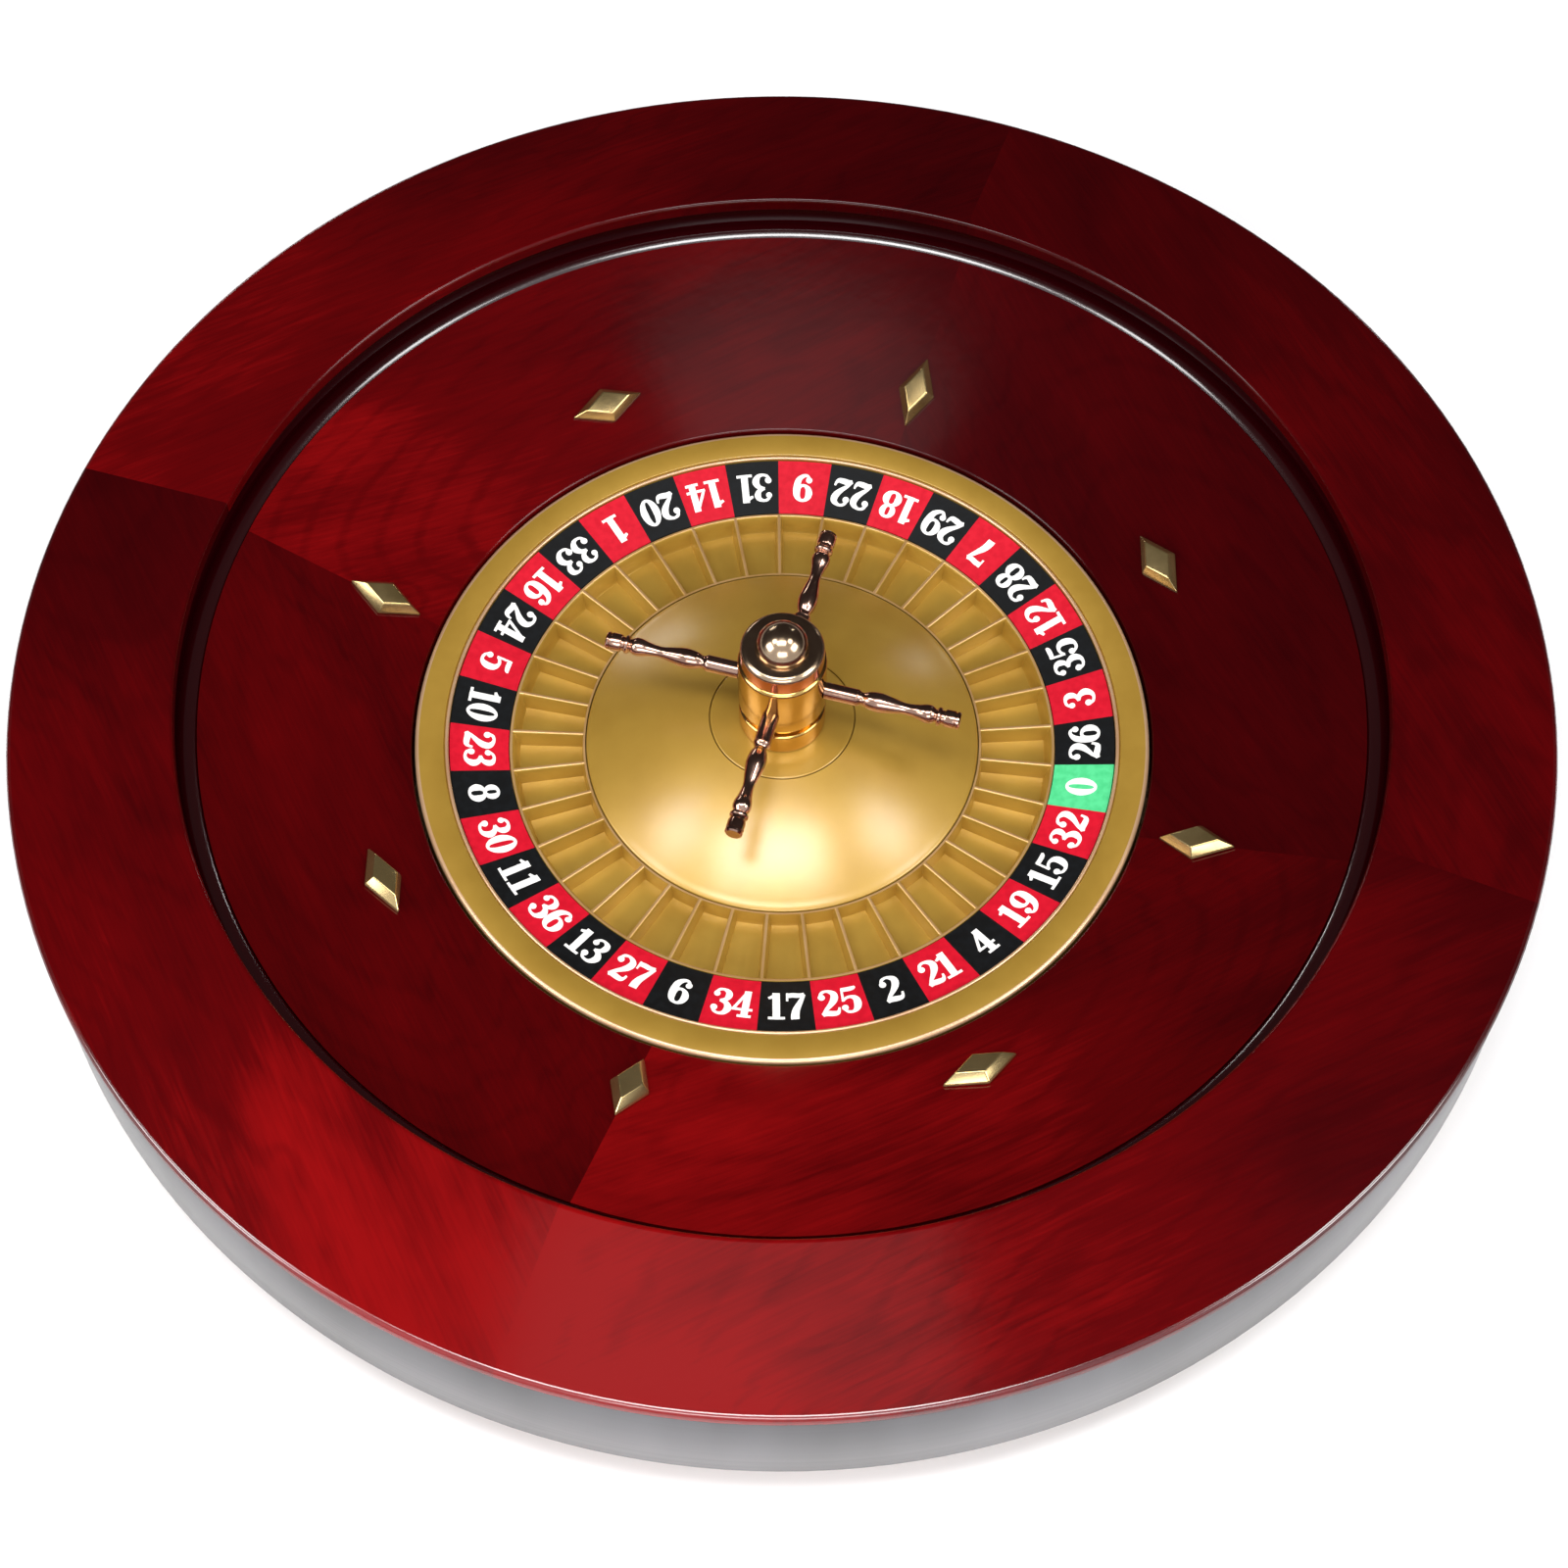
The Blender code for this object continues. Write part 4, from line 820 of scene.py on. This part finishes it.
def ball(x, y, radius):
    """A round end, which stops a little short of its two sides, so as to end in edges and not in points."""
    turns = [pi * (i + 0.35) / 8.7 for i in range(9)]
    left = [Vector((x + radius * cos(t), y + radius * sin(t))) for t in turns]
    right = [Vector((p.x, 2 * y - p.y)) for p in left]
    return solid_strip(left, right, False)


# %% [markdown]
# Every figure stands on a line at zero and is 10.4 mm tall. A nine is a six turned half round.


# %% Draw the ten figures
def zero():
    return [oval(0, 5.2, 2.15, 4.7, 1.25, 0.5)]


def one():
    flag = pen([(-2.5, 8.3, 0.42), (-1.3, 8.8, 0.6), (0, 9.6, 0.75)])
    return [bar(-1.2, 0, 1.2, FIGURE_HEIGHT), bar(-2.7, 0.02, 2.7, 1.0), flag]


def two():
    neck = [
        (-2.4, 7.9, 0.5), (-1.6, 9.5, 0.55), (0.1, 9.95, 0.5), (1.75, 9.0, 0.95), (2.2, 7.6, 1.2),
        (1.6, 5.9, 1.15), (0.2, 4.2, 0.85), (-1.4, 2.6, 0.6), (-2.5, 1.0, 0.5),
    ]
    foot = [
        (-2.8, 0.7, 0.65), (-1.4, 1.25, 1.0), (0.4, 1.0, 1.0), (1.9, 0.95, 0.85), (2.7, 1.8, 0.5),
        (2.95, 3.0, 0.35),
    ]
    return [pen(neck), pen(foot), ball(-1.95, 7.7, 1.15)]


def three():
    upper = [
        (-2.3, 8.3, 0.45), (-1.3, 9.6, 0.5), (0.2, 9.95, 0.5), (1.7, 9.1, 0.95), (2.0, 7.7, 1.1),
        (1.2, 6.2, 0.75), (-0.6, 5.5, 0.45),
    ]
    lower = [
        (-0.62, 5.52, 0.45), (1.2, 5.0, 0.8), (2.2, 3.6, 1.15), (2.2, 2.4, 1.2), (1.2, 0.9, 0.8),
        (-0.3, 0.45, 0.5), (-1.8, 0.9, 0.5), (-2.5, 2.0, 0.5),
    ]
    return [pen(upper), pen(lower), ball(-1.9, 8.0, 1.05), ball(-2.1, 2.5, 1.15)]


def four():
    stem = bar(-0.2, 0, 2.1, FIGURE_HEIGHT)
    slant = pen([(-2.85, 3.1, 0.5), (-1.1, 6.5, 0.5), (0.75, 9.95, 0.5)])
    return [stem, bar(-1.3, 0.02, 3.2, 1.0), bar(-3.3, 2.6, 3.3, 3.55), slant]


def five():
    stem = pen([(-2.0, 9.9, 0.4), (-2.15, 7.5, 0.4), (-2.3, 5.0, 0.4)])
    flag = pen([(-2.3, 9.6, 0.75), (-0.3, 9.5, 0.8), (1.5, 9.6, 0.75), (2.4, 10.05, 0.35)])
    bowl = [
        (-2.3, 5.2, 0.45), (-1.3, 6.1, 0.5), (0.3, 6.4, 0.55), (1.8, 5.4, 1.0), (2.2, 3.6, 1.25),
        (1.7, 1.7, 1.1), (0.3, 0.55, 0.55), (-1.4, 0.8, 0.5), (-2.4, 2.0, 0.45),
    ]
    return [stem, flag, pen(bowl), ball(-2.1, 2.5, 1.1)]


def six():
    back = [
        (2.1, 8.6, 0.5), (1.2, 9.75, 0.5), (-0.3, 9.5, 0.7), (-1.7, 8.0, 1.05), (-2.2, 5.5, 1.2),
        (-2.2, 3.3, 1.2),
    ]
    return [oval(0, 3.3, 2.15, 2.8, 1.2, 0.5), pen(back), ball(1.95, 8.1, 1.1)]


def seven():
    top = pen([(-2.7, 9.3, 0.9), (-1.0, 9.5, 0.9), (1.0, 9.3, 0.85), (2.7, 9.85, 0.5)])
    leg = [(2.7, 9.6, 0.5), (1.4, 6.6, 0.85), (0.2, 3.8, 1.2), (-0.2, 1.6, 1.35), (-0.2, 0.02, 1.35)]
    return [top, bar(-3.05, 7.2, -2.35, 10.38), pen(leg)]


def eight():
    return [oval(0, 7.75, 1.75, 2.15, 1.05, 0.5), oval(0, 2.95, 2.15, 2.5, 1.25, 0.45)]


def joined(parts, name):
    """One solid from several, by Boolean."""
    objects = [placed(name, part) for part in parts]
    for other in objects[1:]:
        step = objects[0].modifiers.new("join", "BOOLEAN")
        step.operation = "UNION"
        step.solver = "EXACT"
        step.object = other
    bpy.context.view_layer.update()
    graph = bpy.context.evaluated_depsgraph_get()
    mesh = bpy.data.meshes.new_from_object(objects[0].evaluated_get(graph))
    for part in objects:
        bpy.data.objects.remove(part)
    return mesh


figures = []
for figure, strokes in enumerate((zero, one, two, three, four, five, six, seven, eight, six)):
    figures.append(joined(strokes(), f"figure_{figure}"))
figures[9].transform(Matrix.Translation((0, FIGURE_HEIGHT, 0)) @ Matrix.Rotation(pi, 4, "Z"))
print("figures drawn:", [len(mesh.vertices) for mesh in figures])

# %% [markdown]
# Now the figures are set on the ring. Their tops point to the middle, so that a player outside reads them
# upright, and every point is bent round the ring and laid on its slope.

# %% Set the figures
BASELINE_RADIUS = 106.2
FIGURE_PITCH = 6.9
# A narrow one stands closer to its neighbour.
ONE_CLOSER = 0.7
ring_slope = (NUMBERS_HIGH - NUMBERS_LOW) / (NUMBERS_OUTER - NUMBERS_INNER)


def set_figures():
    """All the figures in one mesh, each bent round the ring at its own field."""
    shape = bmesh.new()
    for place, number in enumerate(NUMBERS):
        middle = radians(ZERO_ANGLE - FIELD * place)
        text = str(number)
        pitch = FIGURE_PITCH - ONE_CLOSER * ("1" in text)
        for k, letter in enumerate(text):
            offset = (k - (len(text) - 1) / 2) * pitch
            before = len(shape.verts)
            shape.from_mesh(figures[int(letter)])
            shape.verts.ensure_lookup_table()
            for vertex in shape.verts[before:]:
                x, y, z = vertex.co
                radius = BASELINE_RADIUS - y
                angle = middle + (x + offset) / radius
                height = NUMBERS_LOW + (radius - NUMBERS_INNER) * ring_slope + z
                vertex.co = Vector((radius * cos(angle), radius * sin(angle), height)) * MM
    mesh = bpy.data.meshes.new("number_figures")
    shape.to_mesh(mesh)
    shape.free()
    return mesh


figure_mesh = set_figures()
finished("number_figures", figure_mesh, "rotor", "printed_enamel", [], ENAMEL["white"])

# %% [markdown]
# ## The pockets
# The pocket ring is cast in one with the thin frets between its pockets. Nothing on it hangs over, so its
# top is a relief: one height for every place. Each cell is a grid of rows from the cone to the numbers, and
# the greatest of three slopes gives the height: the fret's side, the outer wall and the inner wall.

# %% Cast the pocket ring
POCKET_FLOOR = 24.5
POCKET_TOP = 31.7
FRET_DROP = 0.6
FRET_HALF = 0.65
POCKET_OUTER = 91.1
POCKET_INNER = 65.9
WALL_FOOT = 87.4
WALL_HEAD = 90.05
FILLET = 1.4
FRET_FLAT = 0.3
FRET_ROUNDING = 0.3
WALL_ROUNDING = 0.25
ROUNDING_WIDTH = 0.35
INNER_LEDGE = 0.7
INNER_RUN = 0.5


def eased(height, foot, fillet):
    """A slope that meets the floor in a hollow instead of a corner."""
    above = height - foot
    if above >= fillet:
        return height
    return foot + max(0.0, (above + fillet)) ** 2 / (4 * fillet)


def relief(radius, side):
    """Height at a radius and a distance from the nearest fret's middle line."""
    share = (radius - POCKET_INNER) / (POCKET_OUTER - POCKET_INNER)
    top = POCKET_TOP - FRET_DROP * (1 - share)
    depth = POCKET_TOP - POCKET_FLOOR
    rounding = FRET_ROUNDING * max(0.0, (side - FRET_FLAT) / ROUNDING_WIDTH) ** 2
    # A fret's side goes down one pocket depth in a millimetre.
    fret_side = top - rounding - max(0.0, side - FRET_HALF) * depth
    brow = WALL_ROUNDING * max(0.0, (WALL_HEAD + ROUNDING_WIDTH - radius) / ROUNDING_WIDTH) ** 2
    outer_wall = POCKET_TOP - (WALL_HEAD - radius) * depth / (WALL_HEAD - WALL_FOOT)
    outer_wall = min(outer_wall, POCKET_TOP - brow)
    inner_wall = POCKET_TOP - FRET_DROP - max(0.0, radius - POCKET_INNER - INNER_LEDGE) * depth / INNER_RUN
    steep = max(min(fret_side, top), min(outer_wall, POCKET_TOP), min(inner_wall, top))
    return eased(steep, POCKET_FLOOR, FILLET)


def pocket_rows():
    """The (radius, height or None) of each row. None takes its height from the relief."""
    inner_wall = (65.92, 66.3, 66.6, 66.75, 66.9, 67.05, 67.2, 67.5, 68.0, 69)
    floor_rows = (71, 74, 78, 82, 84.5, 85.6, 86.3, 86.8, 87.2)
    outer_wall = (87.6, 88.0, 88.6, 89.2, 89.7, 90.05, 90.2, 90.4, 90.75, 91.0)
    under_cone = [(60.6, ROTOR_SEAT), (60.6, 28.3), (POCKET_INNER, 28.3)]
    outside = [(POCKET_OUTER, POCKET_TOP - 0.15), (POCKET_OUTER, ROTOR_SEAT)]
    return under_cone + [(r, None) for r in (*inner_wall, *floor_rows, *outer_wall)] + outside


def side_places(radius):
    """Distances from the fret's middle line to the pocket's, close together at the wall."""
    near = [0, 0.3, 0.5, 0.65, 0.8, 1.0, 1.2, 1.4, 1.6, 1.85, 2.2, 2.7]
    rest = radius * sin(pi / POCKETS) - near[-1]
    return near + [near[-1] + rest * (i + 1) / 3 for i in range(3)]


def make_pocket_mesh():
    """Rows of points round the ring, from under the cone over the relief and back."""
    rows = pocket_rows()
    points, faces = [], []
    for radius, height in rows:
        places = side_places(radius)
        cell = [*places, *[-p for p in reversed(places[1:-1])]]
        for pocket in range(POCKETS):
            fret = radians(ZERO_ANGLE + FIELD * (pocket + 0.5))
            for k, side in enumerate(cell):
                turn = asin(abs(side) / radius)
                angle = fret + (turn if side >= 0 else 2 * pi / POCKETS - turn)
                high = relief(radius, abs(side)) if height is None else height
                points.append(Vector((radius * cos(angle), radius * sin(angle), high)) * MM)
    round_count = len(points) // len(rows)
    for j in range(len(rows)):
        here, there = j * round_count, (j + 1) % len(rows) * round_count
        for i in range(round_count):
            k = (i + 1) % round_count
            faces.append((here + i, here + k, there + k, there + i))
    mesh = bpy.data.meshes.new("pocket_casting")
    mesh.from_pydata(points, [], faces)
    face_outwards(mesh)
    return mesh


pocket_mesh = make_pocket_mesh()
finished("pocket_casting", pocket_mesh, "rotor", "satin_brass", ["pocket_ring"], POCKET_BRASS, FRET_HIGHLIGHT_BRASS)
for face in pocket_mesh.polygons:
    # The fret tops, which take the paler brass of the painted highlight: level, and within a millimetre of
    # the highest point.
    face.material_index = int(face.normal.z > 0.8 and face.center.z / MM > POCKET_TOP - 1)

# %% [markdown]
# ## The cone
# The spun cone covers the middle of the rotor, and a round plate clamps it. It bulges slightly, because a
# flat cone would drum. Its edge is rolled, and shows as a bright line above the pockets.

# %% Spin the cone and its plate
CONE_RADIUS = 65.6
CONE_EDGE = 31.1
PLATE_RADIUS = 23.9
PLATE_EDGE = 45.5
STUD_HOLE = 4.3
CONE_CROWN = 1.5
CONE_HOLE = 24.3
CONE_ROLL = 1.6


def cone_top(radius):
    """Height of the cone at a radius: a straight line and its bulge."""
    share = (CONE_RADIUS - radius) / (CONE_RADIUS - PLATE_RADIUS)
    return CONE_EDGE + (PLATE_EDGE - CONE_EDGE) * share + 4 * CONE_CROWN * share * (1 - share)


cone_radii = [CONE_HOLE + (CONE_RADIUS - CONE_ROLL - CONE_HOLE) * i / 24 for i in range(25)]
cone_profile = [
    *[(r, cone_top(r)) for r in cone_radii],
    *arc((CONE_RADIUS - 0.9, cone_top(CONE_RADIUS - 0.9) - 0.85), 0.9, 62, -90, 8),
    (CONE_RADIUS - 3, 29.4),
    (27.3, 43.0),
    (16.2, 43.0),
    (16.2, 43.9),
    (24.2, 43.9),
]
cone_mesh = turned_mesh("cone_cover", cone_profile, ROTOR_STEPS)
finished("cone_cover", cone_mesh, "rotor", "satin_brass", ["cone"], SATIN_BRASS)
plate_profile = [
    (STUD_HOLE, 45.8),
    (14.3, 45.8),
    (23.2, 45.55),
    *arc((PLATE_RADIUS - 0.4, 45.12), 0.4, 80, 0, 4),
    (PLATE_RADIUS, 44.2),
    (STUD_HOLE, 44.2),
]
plate_mesh = turned_mesh("clamp_plate", plate_profile, ROTOR_STEPS)
finished("clamp_plate", plate_mesh, "rotor", "satin_brass", ["cone_plate"], SATIN_BRASS)

# %% [markdown]
# ## The turret
# The turret is turned from solid brass in four pieces: a foot with a neck, the drum that holds the arms, a
# collar and a ball. They are polished on the lathe, so every shoulder has a small round edge. A stud goes
# up through the first three, and the ball screws on to it.

# %% Turn the turret
COLLAR_SIDE = 12.8
COLLAR_SIDE_TOP = 86.5
foot_profile = [
    (STUD_HOLE, 57.5),
    *arc((12.1, 57.1), 0.4, 90, 0, 3),
    (12.5, 55.0),
    *arc((13.5, 54.0), 0.8, 90, 0, 5),
    (14.3, 46.9),
    *arc((14.0, 46.4), 0.3, 0, -90, 3),
    (STUD_HOLE, 46.1),
]
drum_profile = [
    (STUD_HOLE, 80.8),
    *arc((13.1, 79.4), 1.4, 90, 0, 7),
    *arc((13.1, 59.2), 1.4, 0, -90, 7),
    (STUD_HOLE, 57.8),
]
collar_profile = [
    (STUD_HOLE, 88.5),
    (11.0, 88.5),
    *arc((11.5, 86.3), 2.2, 90, 0, 9),
    (13.7, 82.0),
    *arc((13.0, 81.8), 0.7, 0, -90, 5),
    (STUD_HOLE, 81.1),
]
ball_profile = [
    *arc((0, 87.3), 9.0, 90, 12, 22),
    (8.5, 88.8),
    (STUD_HOLE, 88.8),
    (STUD_HOLE, 90.1),
    (0, 90.1),
]
for name, profile, node, closed, metals in (
    ("turret_foot", foot_profile, "turret_base", True, (POLISHED_BRASS,)),
    ("turret_drum", drum_profile, "turret_hub", True, (POLISHED_BRASS,)),
    ("turret_collar", collar_profile, "turret_cap", True, (PALE_BRASS, WOOD_REFLECTION_COPPER)),
    ("turret_ball", ball_profile, "turret_knob", False, (PALE_BRASS,)),
):
    mesh = turned_mesh(name, profile, SMALL_STEPS, 0.0, closed)
    finished(name, mesh, "rotor", "polished_brass", [node], *metals)
for face in bpy.data.objects["turret_collar"].data.polygons:
    # The collar's upright side takes the copper colour, the painted reflection of the wood.
    in_reflection_band = face.center.xy.length > COLLAR_SIDE * MM and face.center.z < COLLAR_SIDE_TOP * MM
    face.material_index = int(in_reflection_band)

# %% [markdown]
# ## The arms
# Four arms screw into the drum. Each is a turned spindle like a stair baluster: a plain root, swelling
# vases between thin necks, and a cap at the tip. A smooth line through the turner's own measurements,
# distance from the drum and radius, gives the vases; the cap's edges stay crisp.

# %% Turn the arms
DRUM_RADIUS = 14.5
ARM_AXIS = 67.8
ARM_FIRST = -15
ARM_LENGTH = 45
ARM_LINE = [
    (0, 2.8), (9.6, 2.8), (10.8, 2.8), (12.4, 2.1), (14.6, 2.9), (18.2, 3.3), (22.6, 2.6), (26.6, 1.9),
    (30.4, 2.3), (33.2, 3.0), (35.2, 3.0), (36.8, 2.1),
]
ARM_CAP = [
    (37.0, 2.1), (37.3, 2.8), (37.7, 3.1), (38.3, 3.1), (38.7, 2.8), (38.9, 2.35), (39.7, 2.35),
    (39.9, 2.75), (40.4, 2.95), (43.2, 2.95), (43.4, 2.6), (43.7, 2.6),
    (43.9, 2.95), (44.6, 2.9), (ARM_LENGTH, 2.4),
]


def arm_mesh(name):
    """An arm along X: its root and screw end inside the drum, its vases and its cap outside."""
    line = [(x, r) for x, r, _ in smooth([(x, r, 0) for x, r in ARM_LINE], False, 5)]
    screw = [(-5.5, 0), (-5.5, 1.6), (-0.05, 1.6)]
    profile = [*screw, *line, *ARM_CAP, (ARM_LENGTH, 0)]
    turned = turned_mesh(name, [(r, x + DRUM_RADIUS) for x, r in profile], 32, 0.0, False)
    turned.transform(Matrix.Rotation(pi / 2, 4, "Y"))
    return turned


for i in range(4):
    name = f"spindle_arm_{i + 1}"
    turn = Matrix.Rotation(radians(ARM_FIRST + 90 * i), 4, "Z")
    mesh = arm_mesh(name)
    mesh.transform(Matrix.Translation((0, 0, ARM_AXIS * MM)) @ turn)
    finished(name, mesh, "rotor", "polished_brass", [f"arm_{i + 1}"], RED_BRASS)

# %% [markdown]
# ## Mesh normals
# A closed mesh must have all its faces looking outwards, or Booleans and bakes go wrong. Instead of
# thinking about winding in every function, one pass turns them all.

# %% Turn every face outwards
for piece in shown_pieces():
    if "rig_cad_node" not in piece:
        face_outwards(piece.data)

# %% [markdown]
# ## The floor
# The wheel stands on a wide sheet of pale matt paper, as goods do in a catalogue.

# %% Lay the floor
FLOOR_RADIUS = 4.5
FLOOR_SIDES = 96
floor_mesh = bpy.data.meshes.new("floor")
turns = [2 * pi * i / FLOOR_SIDES for i in range(FLOOR_SIDES)]
corners = [(FLOOR_RADIUS * cos(turn), FLOOR_RADIUS * sin(turn), 0) for turn in turns]
floor_mesh.from_pydata(corners, [], [tuple(range(FLOOR_SIDES))])
matte_paper, tree, shader = finish("matte_paper", Roughness=0.9)
pulp = add(tree, "TexNoise", {"Scale": 40, "Detail": 2})
tint(tree, pulp.outputs["Fac"], shader.inputs["Base Color"], (0.3, "#F6F6F6"), (0.7, "#FAFAFA"))
floor_mesh.materials.append(matte_paper)
floor_piece = placed("floor", floor_mesh)

# %% [markdown]
# ## The lights
# Polished things show what stands round them, so each light is placed for what it is mirrored in:
#
# - one soft box over the near side draws the bright spot at the foot of the cone
# - two smaller ones beside it draw the cone's paler lobes
# - a dim panel behind it lies as a faint haze on the near side of the rim's lacquer
# - two narrow windows far behind light the bead of the ball track
# - three large boxes low at the left, the right and the front light the wood, the band and the floor
#
# The room is dark behind the wheel and pale in front of it, which gives the brass its dark streaks.


# %% Hang the lights
def soft_box(name, place, aim, size, power):
    """A rectangular light: place and aim in metres, size in metres, power in watts."""
    lamp = bpy.data.lights.new(name, "AREA")
    lamp.shape = "RECTANGLE"
    lamp.size, lamp.size_y = size
    lamp.energy = power
    box = placed(name, lamp)
    box.location = place
    box.rotation_euler = (Vector(aim) - Vector(place)).to_track_quat("-Z", "Y").to_euler()
    # Only the wheel sees the boxes, so that none shows in a view from the side.
    box.visible_camera = False


soft_box("overhead_box", (-0.1, -0.35, 1.6), (-0.1, -0.35, 0), (0.9, 0.4), 14)
soft_box("overhead_left_box", (-0.9, -0.08, 1.6), (-0.4, 0, 0), (0.4, 0.4), 5)
soft_box("overhead_right_box", (0.9, -0.08, 1.6), (0.4, 0, 0), (0.4, 0.4), 5)
soft_box("dim_ceiling_panel", (-0.05, 0.07, 1.6), (-0.05, 0.07, 0), (0.5, 0.2), 0.25)
soft_box("far_left_window", (-0.87, 1.74, 0.68), (0, 0, 0), (0.5, 0.07), 1.6)
soft_box("far_right_window", (1.0, 1.6, 0.83), (0, 0, 0), (0.15, 0.07), 0.5)
soft_box("left_box", (-1.7, -0.6, 1.2), (0, 0, 0), (1.0, 0.8), 19)
soft_box("right_box", (1.7, -0.7, 1.3), (0, 0, 0), (1.0, 0.8), 19)
soft_box("front_box", (0, -2.0, 1.2), (0, 0, 0), (1.4, 0.7), 19)
ROOM_TURNS_DARK = -0.45
world = bpy.data.worlds.new("studio")
world.use_nodes = True
sky = world.node_tree
aim = add(sky, "SeparateXYZ", {"Vector": add(sky, "TexCoord").outputs["Generated"]})
behind = add(sky, "MapRange", {"Value": aim.outputs["Y"], 1: ROOM_TURNS_DARK, 2: 0.0, 3: 0.0, 4: 1.0})
background = sky.nodes["Background"].inputs["Color"]
tint(sky, behind.outputs[0], background, (0.0, "#D8D8DC"), (1.0, "#3A3535"))
bpy.context.scene.world = world
bpy.context.scene.view_settings.view_transform = "Standard"

# %% [markdown]
# ## The camera
# The camera looks down at the wheel from a standing player's place, over its near edge, and takes in the
# whole wheel. It is given by the way it looks and the way that is up for it.

# %% Set up the camera
EYE = Vector((0, -0.54947, 0.9451))
FORWARD = Vector((0.000643, 0.502941, -0.864320))
UP = Vector((-0.003287, 0.864317, 0.502937))
FOCAL_LENGTH = 73.125
SENSOR_WIDTH = 36
camera = placed("camera", bpy.data.cameras.new("camera"))
camera.data.lens = FOCAL_LENGTH
camera.data.sensor_width = SENSOR_WIDTH
right = FORWARD.cross(UP)
turn = Matrix((right, UP, -FORWARD)).transposed().to_4x4()
camera.matrix_world = Matrix.Translation(EYE) @ turn
bpy.context.scene.camera = camera
print("camera tilt below the horizon, degrees:", round(degrees(asin(-FORWARD.z)), 1))
